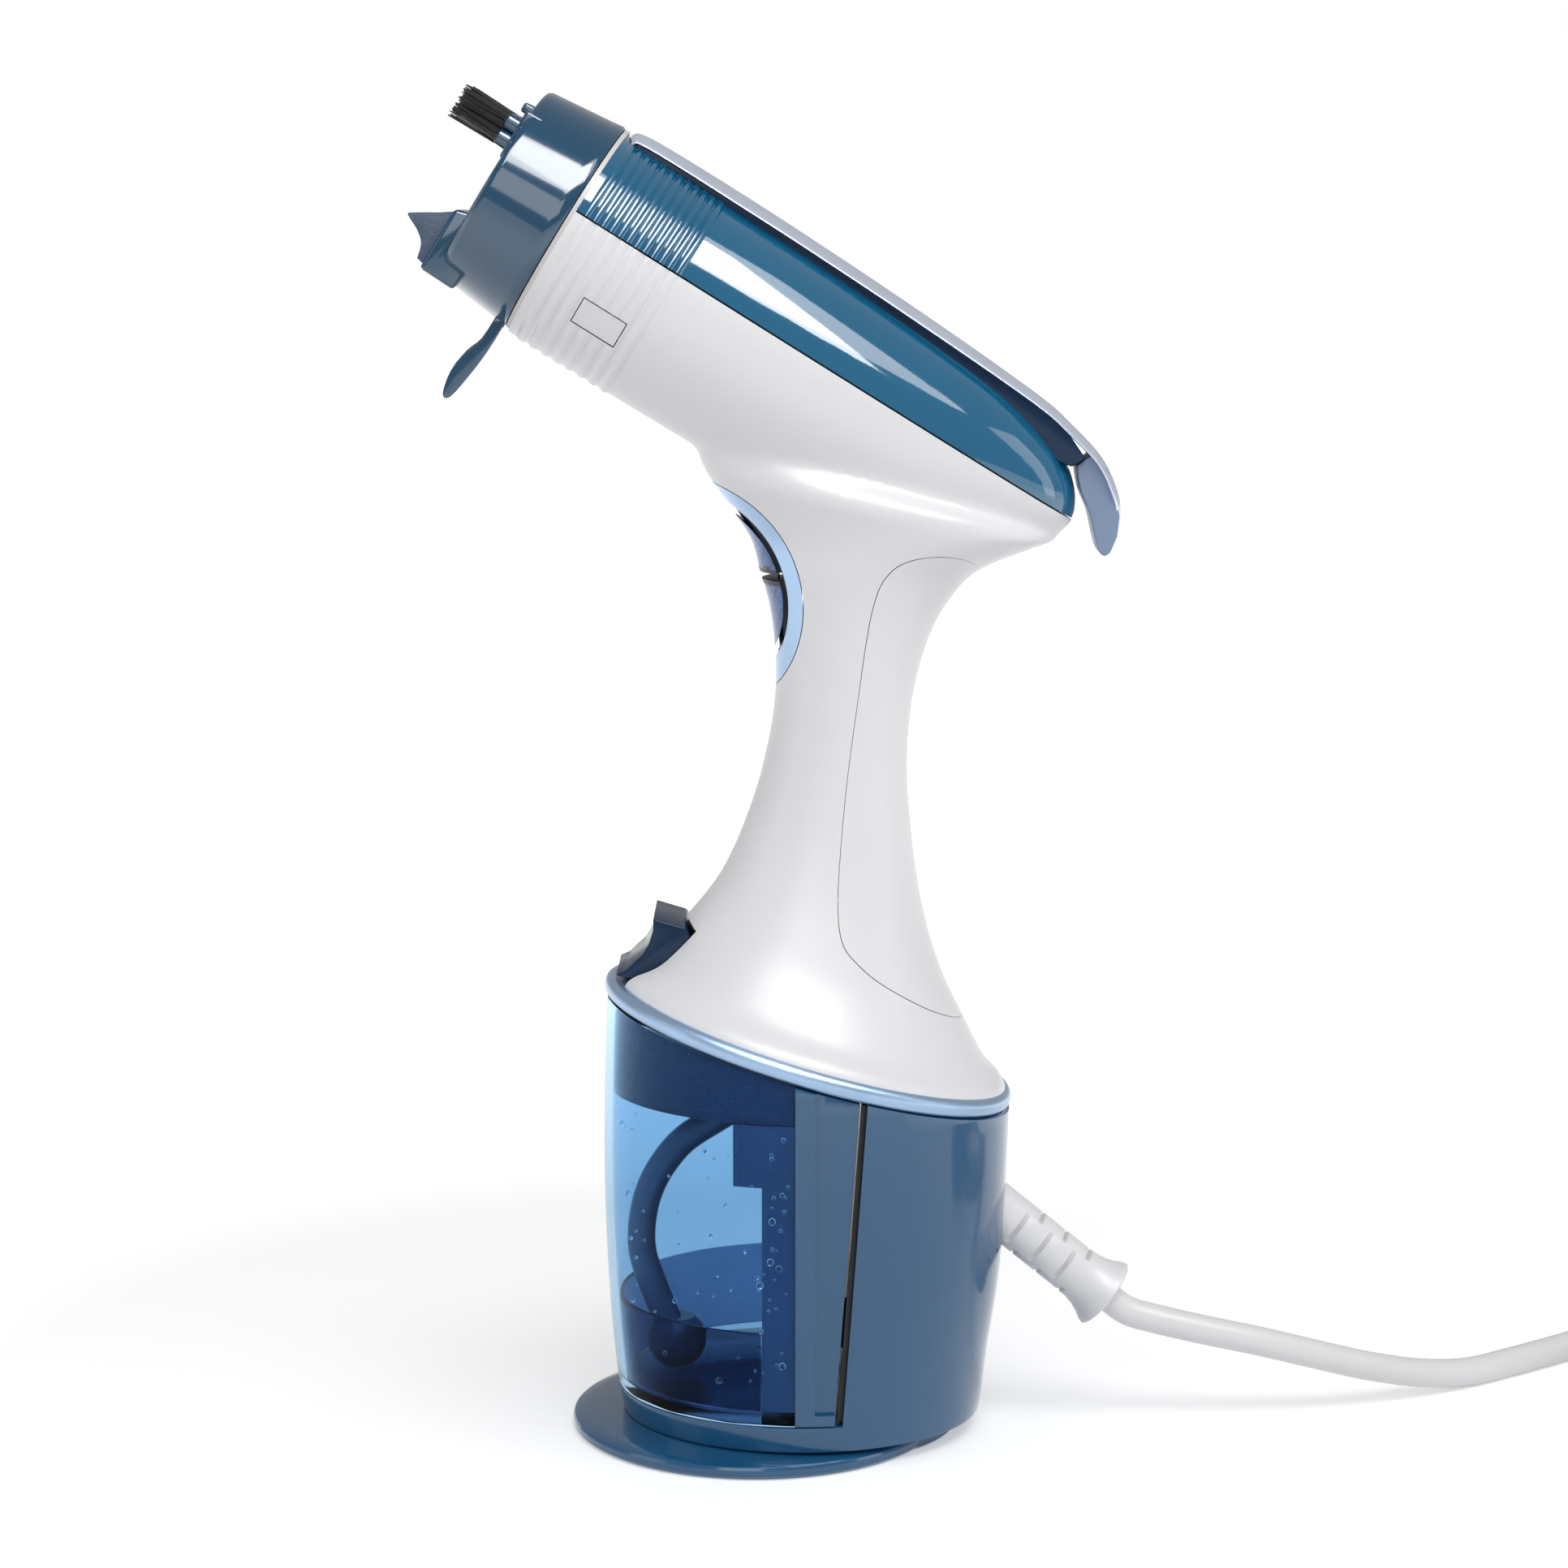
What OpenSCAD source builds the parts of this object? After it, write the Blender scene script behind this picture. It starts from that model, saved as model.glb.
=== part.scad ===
// Hand-held garment steamer: tilted round steam head on a waisted handle, with a
// clear water tank at the front of the base and a foot disc under it.
// The head points along -X, the cord leaves along +X and the floor is z = 0.

/* [Base] */
// Length of the base at its widest, front to back
base_length = 96.6; // [90:0.5:116]
// Width of the base at its widest
base_width = 89; // [80:1:108]
// Height of the trim ring's top, at the middle of the base
base_height = 96.3; // [88:0.1:116]
// Slope of the trim ring, falling to the rear
ring_tilt = 16.5; // [12:0.5:20]
// Thickness of the trim ring
ring_thickness = 4.4; // [3.5:0.1:6]
// Height of the tray that the tank stands on
tray_height = 10.6; // [9:0.1:13]
// Radius of the foot disc
foot_radius = 44; // [36:0.5:50]
// Thickness of the foot disc at its rim
foot_rim = 3.4; // [2.5:0.1:5]
// Height of the foot disc at its middle
foot_height = 4.6; // [4:0.1:6]

/* [Tank] */
// Wall of the clear tank
tank_wall = 2; // [1.6:0.1:2.6]
// Depth of the tank's rear frame
tank_back_depth = 9.5; // [8:0.1:11]
// Height of the lower edge of the tank's lid
lid_level = 83; // [74:1:88]
// Outer diameter of the pickup hose
pickup_d = 5; // [4:0.1:6]
// Diameter of the pickup weight
weight_d = 14; // [12:0.5:17]
// Radius of the filler plug
filler_r = 6.5; // [5:0.1:8]

/* [Handle] */
// Depth of the handle at its waist, front to back
waist_depth = 32; // [27:0.5:38]
// Width of the handle at its waist
waist_width = 32.8; // [27:0.2:39]
// Wall of the white housing
wall = 2.4; // [2:0.1:2.8]
// Radius of the thumb recess's trim, seen from the side
bezel_r = 30; // [28:0.5:33]
// Width of the thumb recess's trim
bezel_band = 2.6; // [2:0.1:3.5]
// Travel of the two buttons
button_travel = 1.2; // [0.8:0.1:1.6]

/* [Head] */
// Angle of the head's axis above level
head_tilt = 32; // [29:0.5:35]
// Height of the middle of the head's front ring
head_height = 282.6; // [276:0.5:300]
// Distance that the head's front ring stands forward
head_reach = 44.9; // [40:0.5:50]
// Radius of the head at its front
head_radius = 26.8; // [25.5:0.1:28.5]
// Length of the head behind its front ring
head_length = 133; // [126:1:142]
// Height of the seam above the head's axis
seam_height = 5.2; // [3:0.1:7]
// Radius of the nozzle that the brush collar clips over
nozzle_r = 22.3; // [20:0.1:23]
// Length of the brush collar
collar_length = 15.8; // [13:0.1:18]
// Length of the bristles
bristle_length = 11.5; // [8:0.5:14]
// Number of tufts across
tufts_across = 7; // [5:1:9]

/* [Cord] */
// Diameter of the mains cord
cord_d = 7; // [6.4:0.1:8]
// Angle of the strain relief below level
relief_angle = 39; // [30:1:45]
// Height where the strain relief leaves the base
relief_height = 51; // [44:1:60]
// Length of the strain relief outside the base
relief_length = 31.5; // [24:0.5:38]
// Middle radius of the wound cord
coil_r = 42; // [38:0.5:45]
// Radius of the plug's body
plug_r = 18.5; // [17:0.5:20]

/* [Clearances] */
// Gap between pieces that move past each other
slide_gap = 0.4; // [0.3:0.05:0.6]
// Gap between pieces that are fitted together
fit_gap = 0.2; // [0.1:0.05:0.3]

/* [Hidden] */
$fn = 48;

shell_sides = 32;
slice = 0.2;
far = 400;

function lerp(a, b, t) = a + (b - a) * t;

// Smooth list of stations through the given ones, with steps between each pair
function blend(a, b, c, d, t) =
    0.5 * (2 * b + (c - a) * t + (2 * a - 5 * b + 4 * c - d) * t * t
    + (3 * b - a - 3 * c + d) * t * t * t);
function smooth(list, steps) = concat(
    [for (i = [0 : len(list) - 2], k = [0 : steps - 1])
        blend(list[max(i - 1, 0)], list[i], list[i + 1], list[min(i + 2, len(list) - 1)],
            k / steps)],
    [list[len(list) - 1]]);

// Base column: height, front edge, rear edge and half width as shares of the widest
base_mid = 9.6;
base_front_x = base_mid - base_length / 2;
base_rear_x = base_mid + base_length / 2;
base_top_z = base_height + 22;
base_stations = [
    [0.00, 0.14, 0.18, 0.82],
    [0.045, 0.085, 0.145, 0.85],
    [0.16, 0.045, 0.11, 0.885],
    [0.33, 0.015, 0.05, 0.935],
    [0.55, 0.000, 0.02, 0.975],
    [0.80, 0.010, 0.002, 1.0],
    [1.00, 0.040, 0.000, 1.0]
];

// Ring plane: the slope that the handle, the trim ring, the tank and the base share
function ring_z(x, drop = 0) = base_height - (x - base_mid) * tan(ring_tilt)
    - drop / cos(ring_tilt);
module ring_frame(drop = 0) {
    translate([base_mid, 0, ring_z(base_mid, drop)])
        rotate([0, ring_tilt, 0])
            children();
}
module above_ring(drop = 0) {
    ring_frame(drop)
        translate([-far / 2, -far / 2, 0])
            cube(far);
}
module below_ring(drop = 0) {
    ring_frame(drop)
        translate([-far / 2, -far / 2, -far])
            cube(far);
}

module head_frame() {
    translate([-head_reach, 0, head_height])
        rotate([0, head_tilt, 0])
            children();
}
function head_point(u, w) = [
    -head_reach + u * cos(head_tilt) + w * sin(head_tilt), 0,
    head_height - u * sin(head_tilt) + w * cos(head_tilt)
];
// A cylinder along the head's axis, from u0 to u1
module head_rod(r, u0, u1, w = 0, y = 0) {
    translate([u0, y, w])
        rotate([0, 90, 0])
            cylinder(r = r, h = u1 - u0);
}
module above_seam(gap = 0) {
    head_frame()
        translate([-far / 2, -far / 2, seam_height + gap])
            cube(far);
}

module oval(half_x, half_y) {
    linear_extrude(slice)
        scale([half_x, half_y])
            circle(r = 1, $fn = shell_sides);
}

module base_form(inset = 0) {
    for (i = [0 : len(base_stations) - 2])
        hull()
            for (s = [base_stations[i], base_stations[i + 1]]) {
                front = base_front_x + s[1] * base_length / 2 + inset;
                rear = base_rear_x - s[2] * base_length / 2 - inset;
                translate([(front + rear) / 2, 0, s[0] * base_top_z])
                    oval((rear - front) / 2, s[3] * base_width / 2 - inset);
            }
}

// Handle: share of its height, front edge, rear edge, rise from rear to front, half width.
// The waist's depth and width set the middle, and the ring sets the bottom.
handle_top_z = head_height - 60.6;
waist_front = 1.3;
waist_back = waist_front + waist_depth;
waist_half = waist_width / 2;
ring_half = base_width / 2 - 1.2;
ring_front = base_front_x + 3.6;
ring_back = base_rear_x - 1.4;
handle_stations = [
    [0.000, ring_front, ring_back, (ring_back - ring_front) * tan(ring_tilt), ring_half],
    [0.041, ring_front + 8.1, ring_back - 4.6, 26.0, ring_half - 6.2],
    [0.117, ring_front + 16.3, ring_back - 9.8, 25.0, ring_half - 13.1],
    [0.193, waist_front - 13.6, waist_back + 8.2, 22.0, waist_half + 9.2],
    [0.268, waist_front - 9.5, waist_back + 4.5, 18.0, waist_half + 5.6],
    [0.348, waist_front - 6.2, waist_back + 2.0, 14.0, waist_half + 2.8],
    [0.427, waist_front - 3.5, waist_back + 0.5, 10.0, waist_half + 1.1],
    [0.507, waist_front - 1.5, waist_back - 0.4, 6.0, waist_half + 0.3],
    [0.586, waist_front, waist_back, 2.0, waist_half],
    [0.666, waist_front + 0.7, waist_back + 1.8, -1.0, waist_half + 0.3],
    [0.746, waist_front + 0.3, waist_back + 5.2, -2.0, waist_half + 1.0],
    [0.809, waist_front - 0.9, waist_back + 9.5, -1.0, waist_half + 2.0],
    [0.865, waist_front - 3.1, waist_back + 15.9, 0.0, waist_half + 3.4],
    [0.912, waist_front - 4.9, waist_back + 28.0, 2.0, waist_half + 5.1],
    [0.952, waist_front - 9.9, waist_back + 34.2, 7.5, waist_half + 6.6],
    [1.000, waist_front - 16.5, waist_back + 32.0, 16.0, waist_half + 7.6],
    [1.055, waist_front - 18.6, waist_back + 31.7, 25.7, waist_half + 1]
];

module handle_form(inset = 0, first = 0, last = len(handle_stations) - 1) {
    for (i = [first : last - 1])
        hull()
            for (s = [handle_stations[i], handle_stations[i + 1]]) {
                run = s[2] - s[1];
                translate([(s[1] + s[2]) / 2, 0, lerp(base_height, handle_top_z, s[0])])
                    rotate([0, atan2(s[3], run), 0])
                        oval(norm([run, s[3]]) / 2 - inset, s[4] - inset);
            }
}

// Head: distance behind the front ring, lowest and highest edge, half width
head_stations = [
    [-0.05, -head_radius, head_radius - 1.4, head_radius],
    [0.25, -head_radius, head_radius - 1.5, head_radius - 0.2],
    [0.47, -head_radius + 1, head_radius - 2.0, head_radius - 1.4],
    [0.65, -head_radius + 5, head_radius - 3.0, head_radius - 3.8],
    [0.78, -head_radius + 10, head_radius - 4.4, head_radius - 6.6],
    [0.885, -head_radius + 17, head_radius - 7.6, head_radius - 10.8],
    [0.945, -head_radius + 21.5, head_radius - 11.6, head_radius - 14.6],
    [0.982, -head_radius + 26, head_radius - 16.2, head_radius - 19.4],
    [1.000, -head_radius + 30.2, head_radius - 20.6, head_radius - 24.0]
];

module head_form(inset = 0) {
    head_frame()
        for (i = [0 : len(head_stations) - 2])
            hull()
                for (s = [head_stations[i], head_stations[i + 1]])
                    translate([s[0] * (head_length - inset), 0, (s[1] + s[2]) / 2])
                        rotate([0, 90, 0])
                            oval(max((s[2] - s[1]) / 2 - inset, 0.4), max(s[3] - inset, 0.4));
}

module handset_form(inset = 0) {
    handle_form(inset);
    head_form(inset);
}
// Outline in the side view, drawn as x and z and cut through from side to side
module side_cut(half = far / 2) {
    rotate([90, 0, 0])
        translate([0, 0, -half])
            linear_extrude(2 * half)
                children();
}

// Tube swept along a list of points
function unit(v) = v / norm(v);
function path_dir(path, i) = unit(path[min(i + 1, len(path) - 1)] - path[max(i - 1, 0)]);
// across is a direction that the path never takes
module sweep_tube(path, r, sides, across = [0, 1, 0]) {
    rings = [for (i = [0 : len(path) - 1])
        let (d = path_dir(path, i), a = unit(cross(d, across)), b = cross(d, a))
        for (k = [0 : sides - 1])
            path[i] + r * (a * cos(360 * k / sides) + b * sin(360 * k / sides))];
    last = (len(path) - 1) * sides;
    polyhedron(
        points = rings,
        faces = concat(
            [[for (k = [0 : sides - 1]) k]],
            [for (i = [0 : len(path) - 2], k = [0 : sides - 1])
                [i * sides + k, (i + 1) * sides + k, (i + 1) * sides + (k + 1) % sides,
                    i * sides + (k + 1) % sides]],
            [[for (k = [sides - 1 : -1 : 0]) last + k]]));
}
// ---------------------------------------------------------------- base

foot_x = -2.5;
screw_r = 1.5;
screw_head_r = 3;
base_screw_at = [[-24, 0], [9, 27], [9, -27]];
shell_wall = 2.2;

module foot_disc() {
    color("steelblue")
        difference() {
            union() {
                translate([foot_x, 0, 0])
                    rotate_extrude()
                        polygon([
                            [0, 0], [foot_radius - 1, 0], [foot_radius, 1],
                            [foot_radius, foot_rim - 0.8], [foot_radius - 0.8, foot_rim],
                            [foot_radius - 14, foot_height], [0, foot_height]
                        ]);
                translate([base_rear_x - 0.18 * base_length / 2 - 34, 0, 0])
                    cylinder(r = 30, h = foot_height);
            }
            for (p = base_screw_at)
                translate([p[0], p[1], -1]) {
                    cylinder(r = screw_r + 0.1, h = foot_height + 2);
                    cylinder(r = screw_head_r + 0.3, h = 3.4);
                }
        }
}

module base_screws() {
    color("silver")
        for (p = base_screw_at)
            translate([p[0], p[1], 0]) {
                translate([0, 0, 0.6])
                    cylinder(r = screw_head_r, h = 1.7);
                translate([0, 0, 2.2])
                    cylinder(r = screw_r, h = 5.4);
            }
}

// The tank's rear face leans back a little
gap_x = 16;
gap_lean = 4;
module behind_gap(shift = 0) {
    translate([gap_x + shift, 0, tray_height])
        rotate([0, gap_lean, 0])
            translate([0, -far / 2, -far / 2])
                cube(far);
}
module before_gap(shift = 0) {
    translate([gap_x + shift, 0, tray_height])
        rotate([0, gap_lean, 0])
            translate([-far, -far / 2, -far / 2])
                cube(far);
}
module slab(z0, z1) {
    translate([-far / 2, -far / 2, z0])
        cube([far, far, z1 - z0]);
}

inlet_z = 24;
inlet_r = 6;

module base_housing() {
    color("steelblue")
        difference() {
            base_form();
            slab(-1, foot_height);
            above_ring(ring_thickness);
            // tank bay
            intersection() {
                before_gap();
                slab(tray_height, far);
            }
            // hollow behind the partition
            intersection() {
                base_form(shell_wall);
                behind_gap(shell_wall);
                slab(tray_height, far);
            }
            // hollow under the tray
            intersection() {
                base_form(shell_wall);
                slab(0, tray_height - shell_wall);
            }
            // way from the tray's hollow up into the rear of the base
            intersection() {
                base_form(shell_wall);
                behind_gap(shell_wall);
                slab(0, tray_height + 1);
            }
            translate([gap_x - 5, 0, inlet_z])
                rotate([0, 90, 0])
                    cylinder(r = inlet_r + fit_gap, h = 20);
            relief_frame()
                translate([0, 0, -14])
                    cylinder(r = relief_root_r + fit_gap, h = 30);
        }
    color("steelblue")
        for (p = base_screw_at)
            translate([p[0], p[1], foot_height])
                difference() {
                    cylinder(r = 3.2, h = tray_height - foot_height - shell_wall + 0.1);
                    translate([0, 0, -1])
                        cylinder(r = screw_r + 0.1, h = 4.4);
                }
}

ring_hole_r = base_width * 0.38;
module trim_ring() {
    color("lightsteelblue")
        intersection() {
            base_form(-0.4);
            ring_frame(ring_thickness)
                difference() {
                    translate([-far / 2, -far / 2, 0])
                        cube([far, far, ring_thickness]);
                    translate([0, 0, -1])
                        cylinder(r = ring_hole_r, h = ring_thickness + 2);
                }
        }
}

tank_split = gap_x - tank_back_depth;
tank_top_drop = ring_thickness + slide_gap;

module tank_space(inset = 0) {
    difference() {
        base_form(inset);
        slab(-1, tray_height + slide_gap + inset);
        above_ring(tank_top_drop + inset);
        behind_gap(-slide_gap - inset);
    }
}
module before_split() {
    translate([tank_split - far, -far / 2, -far / 2])
        cube(far);
}
module tank_shell() {
    color("cornflowerblue", 0.5)
        intersection() {
            before_split();
            difference() {
                tank_space();
                base_form_tall(tank_wall);
            }
        }
}
// The inner space of the tank, open at the top where the lid closes it
module base_form_tall(inset) {
    difference() {
        base_form(inset);
        slab(-1, tray_height + slide_gap + inset);
    }
}

module tank_back() {
    color("steelblue")
        difference() {
            tank_space();
            translate([tank_split + 0.02 - far, -far / 2, -far / 2])
                cube(far);
            tank_space(tank_wall);
            translate([gap_x - 8, 0, inlet_z])
                rotate([0, 90, 0])
                    cylinder(r = inlet_r - 1 + fit_gap, h = 20);
        }
}

// Filler place on the sloping lid
filler_x = -24;
module lid_form(inset) {
    intersection() {
        before_split();
        difference() {
            base_form(tank_wall + fit_gap + inset);
            above_ring(tank_top_drop + inset);
            slab(-1, lid_level + inset);
        }
    }
}
module tank_lid() {
    color("midnightblue", 0.7)
        difference() {
            lid_form(0);
            intersection() {
                lid_form(1.6);
                translate([tank_split - 1.6 - far, -far / 2, -far / 2])
                    cube(far);
            }
            ring_frame(tank_top_drop)
                translate([filler_x, 0, -22])
                    cylinder(r = filler_r + fit_gap, h = 30);
        }
}

module filler_plug() {
    color("dimgray")
        ring_frame(tank_top_drop)
            translate([filler_x, 0, -7]) {
                cylinder(r = filler_r, h = 6.8);
                translate([0, 0, -1.5])
                    cylinder(r = filler_r - 1.5, h = 1.6);
            }
}

// Soft hose in the tank, from the valve's chamber to the weight
pickup_path = smooth([
    [-1, 0, lid_level - 1.5], [-3, 0, lid_level - 4], [-11, 0, 75], [-20, 0, 68], [-27, 0, 57],
    [-29, 0, 44], [-26, 0, 33], [-23, 0, 29]
], 3);
weight_at = [-21.6, 0, tray_height + slide_gap + tank_wall + weight_d / 2 + 0.3];
module pickup_hose() {
    color("lightgray")
        sweep_tube(pickup_path, pickup_d / 2, 10);
}
module pickup_weight() {
    color("dimgray")
        translate(weight_at)
            intersection() {
                sphere(d = weight_d);
                translate([-far / 2, -far / 2, -weight_d / 2])
                    cube([far, far, 8 + weight_d / 2 - 2.4]);
            }
}

module tank_valve() {
    color("gray")
        translate([gap_x - 4.6, 0, inlet_z])
            rotate([0, 90, 0])
                difference() {
                    cylinder(r = inlet_r - 1, h = 4);
                    translate([0, 0, -1])
                        cylinder(r = 2, h = 6);
                }
}
port_x = gap_x + 1.4;
port_length = 6;
spigot_r = 3;
module inlet_port() {
    color("dimgray")
        translate([port_x, 0, inlet_z])
            rotate([0, 90, 0])
                difference() {
                    union() {
                        cylinder(r = inlet_r, h = 4.4);
                        cylinder(r = spigot_r, h = port_length);
                    }
                    translate([0, 0, -1])
                        cylinder(r = 2, h = 12);
                }
}

// Pump stands on soft mounts on the foot
pump_x = 38;
pump_r = 11;
pump_z = 13;
pump_h = 36;
module pump_mounts() {
    color("black")
        translate([pump_x, 0, foot_height])
            difference() {
                cylinder(r = 9, h = pump_z - foot_height);
                translate([0, 0, -1])
                    cylinder(r = 5, h = pump_z);
            }
}
module pump_body() {
    color("ivory")
        translate([pump_x, 0, pump_z]) {
            cylinder(r = pump_r, h = pump_h);
            translate([0, 0, pump_h - 0.01])
                cylinder(r = 3.4, h = 9);
            translate([-pump_r - 1.2, 0, inlet_z - pump_z])
                rotate([0, 90, 0])
                    cylinder(r = spigot_r, h = 4);
        }
}
module inlet_hose() {
    hose_x = port_x + port_length;
    color("lightgray")
        translate([hose_x, 0, inlet_z])
            rotate([0, 90, 0])
                cylinder(r = spigot_r, h = pump_x - pump_r - 1.2 - hose_x);
}

// Strain relief: its frame's z runs out of the base along the cord
relief_root_r = 6.15;
relief_mouth_r = 8.85;
relief_x = base_rear_x - 1.6;
module relief_frame() {
    translate([relief_x, 0, relief_height])
        rotate([0, 90 + relief_angle, 0])
            children();
}
function relief_point(t) = [relief_x + t * cos(relief_angle), 0,
    relief_height - t * sin(relief_angle)];

// ---------------------------------------------------------------- handle

// Seam between the main housing and the rear cover, from the head down to the ring
cover_x = waist_back - 15.5;
cover_seam = [
    [cover_x + 34.7, handle_top_z - 19], [cover_x + 27.7, handle_top_z - 13.5],
    [cover_x + 11, handle_top_z - 15.4], [cover_x + 6.4, handle_top_z - 24.7],
    [cover_x, handle_top_z - 71.6], [cover_x - 1.2, handle_top_z - 96.4],
    [cover_x + 3.9, handle_top_z - 106], [cover_x + 17.1, handle_top_z - 115.6],
    [cover_x + 32, handle_top_z - 124.2], [far, handle_top_z - 124.2], [far, handle_top_z - 19]
];
module cover_region(gap = 0) {
    side_cut()
        offset(delta = gap)
            polygon(cover_seam);
}

// Thumb recess: a cylinder across the handle, in front of it
thumb_at = [waist_front - 22.8, handle_top_z - 25];
module thumb_rod(r) {
    translate([thumb_at[0], 0, thumb_at[1]])
        rotate([90, 0, 0])
            cylinder(r = r, h = far, center = true);
}
button_r = bezel_r - bezel_band;
bezel_first = 9;
bezel_last = len(handle_stations) - 2;
button_split_z = handle_top_z - 18;
button_split_gap = 1.6;
stem_r = 2.5;
stem_levels = [handle_top_z - 11.5, handle_top_z - 28.5];
stem_back = thumb_at[0] + bezel_r + 1.2;
module stem_rod(level, r, x0, x1) {
    translate([x0, 0, level])
        rotate([0, 90, 0])
            cylinder(r = r, h = x1 - x0);
}

// Release button: a ledge with a hollow front, low on the handle's front
release_tilt = 33;
release_half = 12;
release_foot = [ring_front + 2.9, base_height + 14.9];
release_outline = [
    release_foot, release_foot + [-3.1, 0.2], release_foot + [1.2, 3.1],
    release_foot + [4.6, 6.5], release_foot + [5.8, 13.7], release_foot + [13.1, 11.5]
];
release_travel = 3;

module main_housing() {
    color("white")
        difference() {
            handset_form();
            handset_form(wall);
            below_ring();
            above_seam();
            head_frame()
                translate([-far, -far / 2, -far / 2])
                    cube([far, far, far]);
            cover_region(fit_gap);
            thumb_rod(bezel_r);
            side_cut(release_half + slide_gap)
                offset(delta = slide_gap)
                    hull() {
                        polygon(release_outline);
                        translate([-8, 0])
                            polygon(release_outline);
                        translate((release_travel + 1) * [cos(release_tilt), -sin(release_tilt)])
                            polygon(release_outline);
                    }
            side_cap_pockets(fit_gap);
        }
}
module rear_cover() {
    color("white")
        intersection() {
            difference() {
                handle_form();
                handset_form(wall);
                below_ring();
            }
            cover_region();
        }
}
module release_button() {
    color("midnightblue", 0.8)
        side_cut(release_half)
            polygon(release_outline);
}

module thumb_bezel() {
    color("whitesmoke")
        difference() {
            intersection() {
                handle_form(0, bezel_first, bezel_last);
                thumb_rod(bezel_r - fit_gap);
            }
            thumb_rod(button_r);
            for (level = stem_levels)
                stem_rod(level, stem_r + slide_gap, -60, 60);
        }
}
module upper_stretch() {
    translate([-far / 2, -far / 2, button_split_z + button_split_gap / 2])
        cube(far);
}
module lower_stretch() {
    translate([-far / 2, -far / 2, button_split_z - button_split_gap / 2 - far])
        cube(far);
}
module button_lens(first, last) {
    intersection() {
        handle_form(0.2, first, last);
        thumb_rod(button_r - button_travel - slide_gap);
    }
}
module steam_trigger() {
    color("royalblue", 0.8)
        intersection() {
            button_lens(12, bezel_last);
            upper_stretch();
        }
    color("royalblue", 0.8)
        stem_rod(stem_levels[0], stem_r, thumb_at[0] + 21, stem_back);
}
module power_button() {
    color("royalblue", 0.8)
        intersection() {
            button_lens(bezel_first, 13);
            lower_stretch();
        }
    color("royalblue", 0.8)
        stem_rod(stem_levels[1], stem_r, thumb_at[0] + 24, stem_back);
}

bracket_x = stem_back + 8.4;
bracket_thick = 2;
bracket_half = waist_half - wall - fit_gap;
module switch_bracket() {
    color("ivory")
        translate([bracket_x, -bracket_half, stem_levels[1] - 12])
            cube([bracket_thick, 2 * bracket_half, 34]);
}
module microswitches() {
    color("black")
        for (level = stem_levels)
            translate([bracket_x - 6, -6, level - 5])
                cube([6, 12, 10]);
}
board_x = waist_front + 10;
board_half = waist_half - wall - 1.4;
module control_board() {
    color("darkgreen")
        translate([board_x, -board_half, base_height + 36])
            cube([1.6, 2 * board_half, 46]);
}

// ---------------------------------------------------------------- head

heater_r = 17;
heater_u0 = 24;
heater_u1 = 92;
heater_w = -2;
module heater_block() {
    color("silver")
        head_frame()
            difference() {
                union() {
                    head_rod(heater_r, heater_u0, heater_u1, heater_w);
                    head_rod(6, heater_u0 - 8, heater_u0, heater_w);
                }
                head_rod(3, heater_u0 - 9, heater_u0 + 6, heater_w);
            }
}
module thermostat() {
    color("gray")
        head_frame()
            translate([50, 0, heater_w + heater_r])
                cylinder(r = 8, h = 3.4);
}
module thermal_fuse() {
    color("peru")
        head_frame()
            translate([74, 0, heater_w + heater_r])
                cylinder(r = 4, h = 4);
}
hose_path = smooth([
    [pump_x, 0, pump_z + pump_h + 9], [pump_x, 0, 74], [35, 0, 96], [28.5, 0, 118],
    [25, 0, 142], [25, 0, 166], [26, 0, 186], head_point(heater_u1 + 14, -27),
    head_point(heater_u1 + 11, -17), head_point(heater_u1 + 6, -9.5),
    head_point(heater_u1, -8)
], 2);
module water_hose() {
    color("lightgray")
        sweep_tube(hose_path, 2.5, 8);
}

nozzle_u0 = -collar_length - 1.2;
module nozzle_core() {
    color("white")
        head_frame()
            difference() {
                union() {
                    head_rod(nozzle_r, nozzle_u0, 0);
                    head_rod(nozzle_r - 2, 0, heater_u0 - 8);
                }
                head_rod(nozzle_r - 2.4, nozzle_u0 - 1, -3);
                head_rod(5.8, -4, heater_u0, heater_w);
            }
}
plate_thick = 2;
hole_ring_r = 12;
hole_count = 8;
hole_r = 2;
module steam_plate() {
    color("white")
        head_frame()
            difference() {
                head_rod(nozzle_r, nozzle_u0 - 0.8 - plate_thick, nozzle_u0 - 0.8);
                for (k = [0 : hole_count - 1])
                    head_rod(hole_r, nozzle_u0 - 5, nozzle_u0 + 1,
                        hole_ring_r * sin(k * 360 / hole_count),
                        hole_ring_r * cos(k * 360 / hole_count));
            }
}
module steam_gasket() {
    color("dimgray")
        head_frame()
            difference() {
                head_rod(nozzle_r - 0.5, nozzle_u0 - 0.8, nozzle_u0);
                head_rod(nozzle_r - 2.4, nozzle_u0 - 2, nozzle_u0 + 1);
            }
}
module front_ring() {
    color("gainsboro")
        head_frame()
            difference() {
                head_rod(head_radius - 0.6, -1, 0);
                head_rod(nozzle_r + fit_gap, -2, 1);
            }
}
module head_cover() {
    color("steelblue")
        intersection() {
            difference() {
                head_form();
                head_form(wall);
                head_frame()
                    translate([-far, -far / 2, -far / 2])
                        cube([far, far, far]);
            }
            above_seam(0.4);
        }
}

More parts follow.
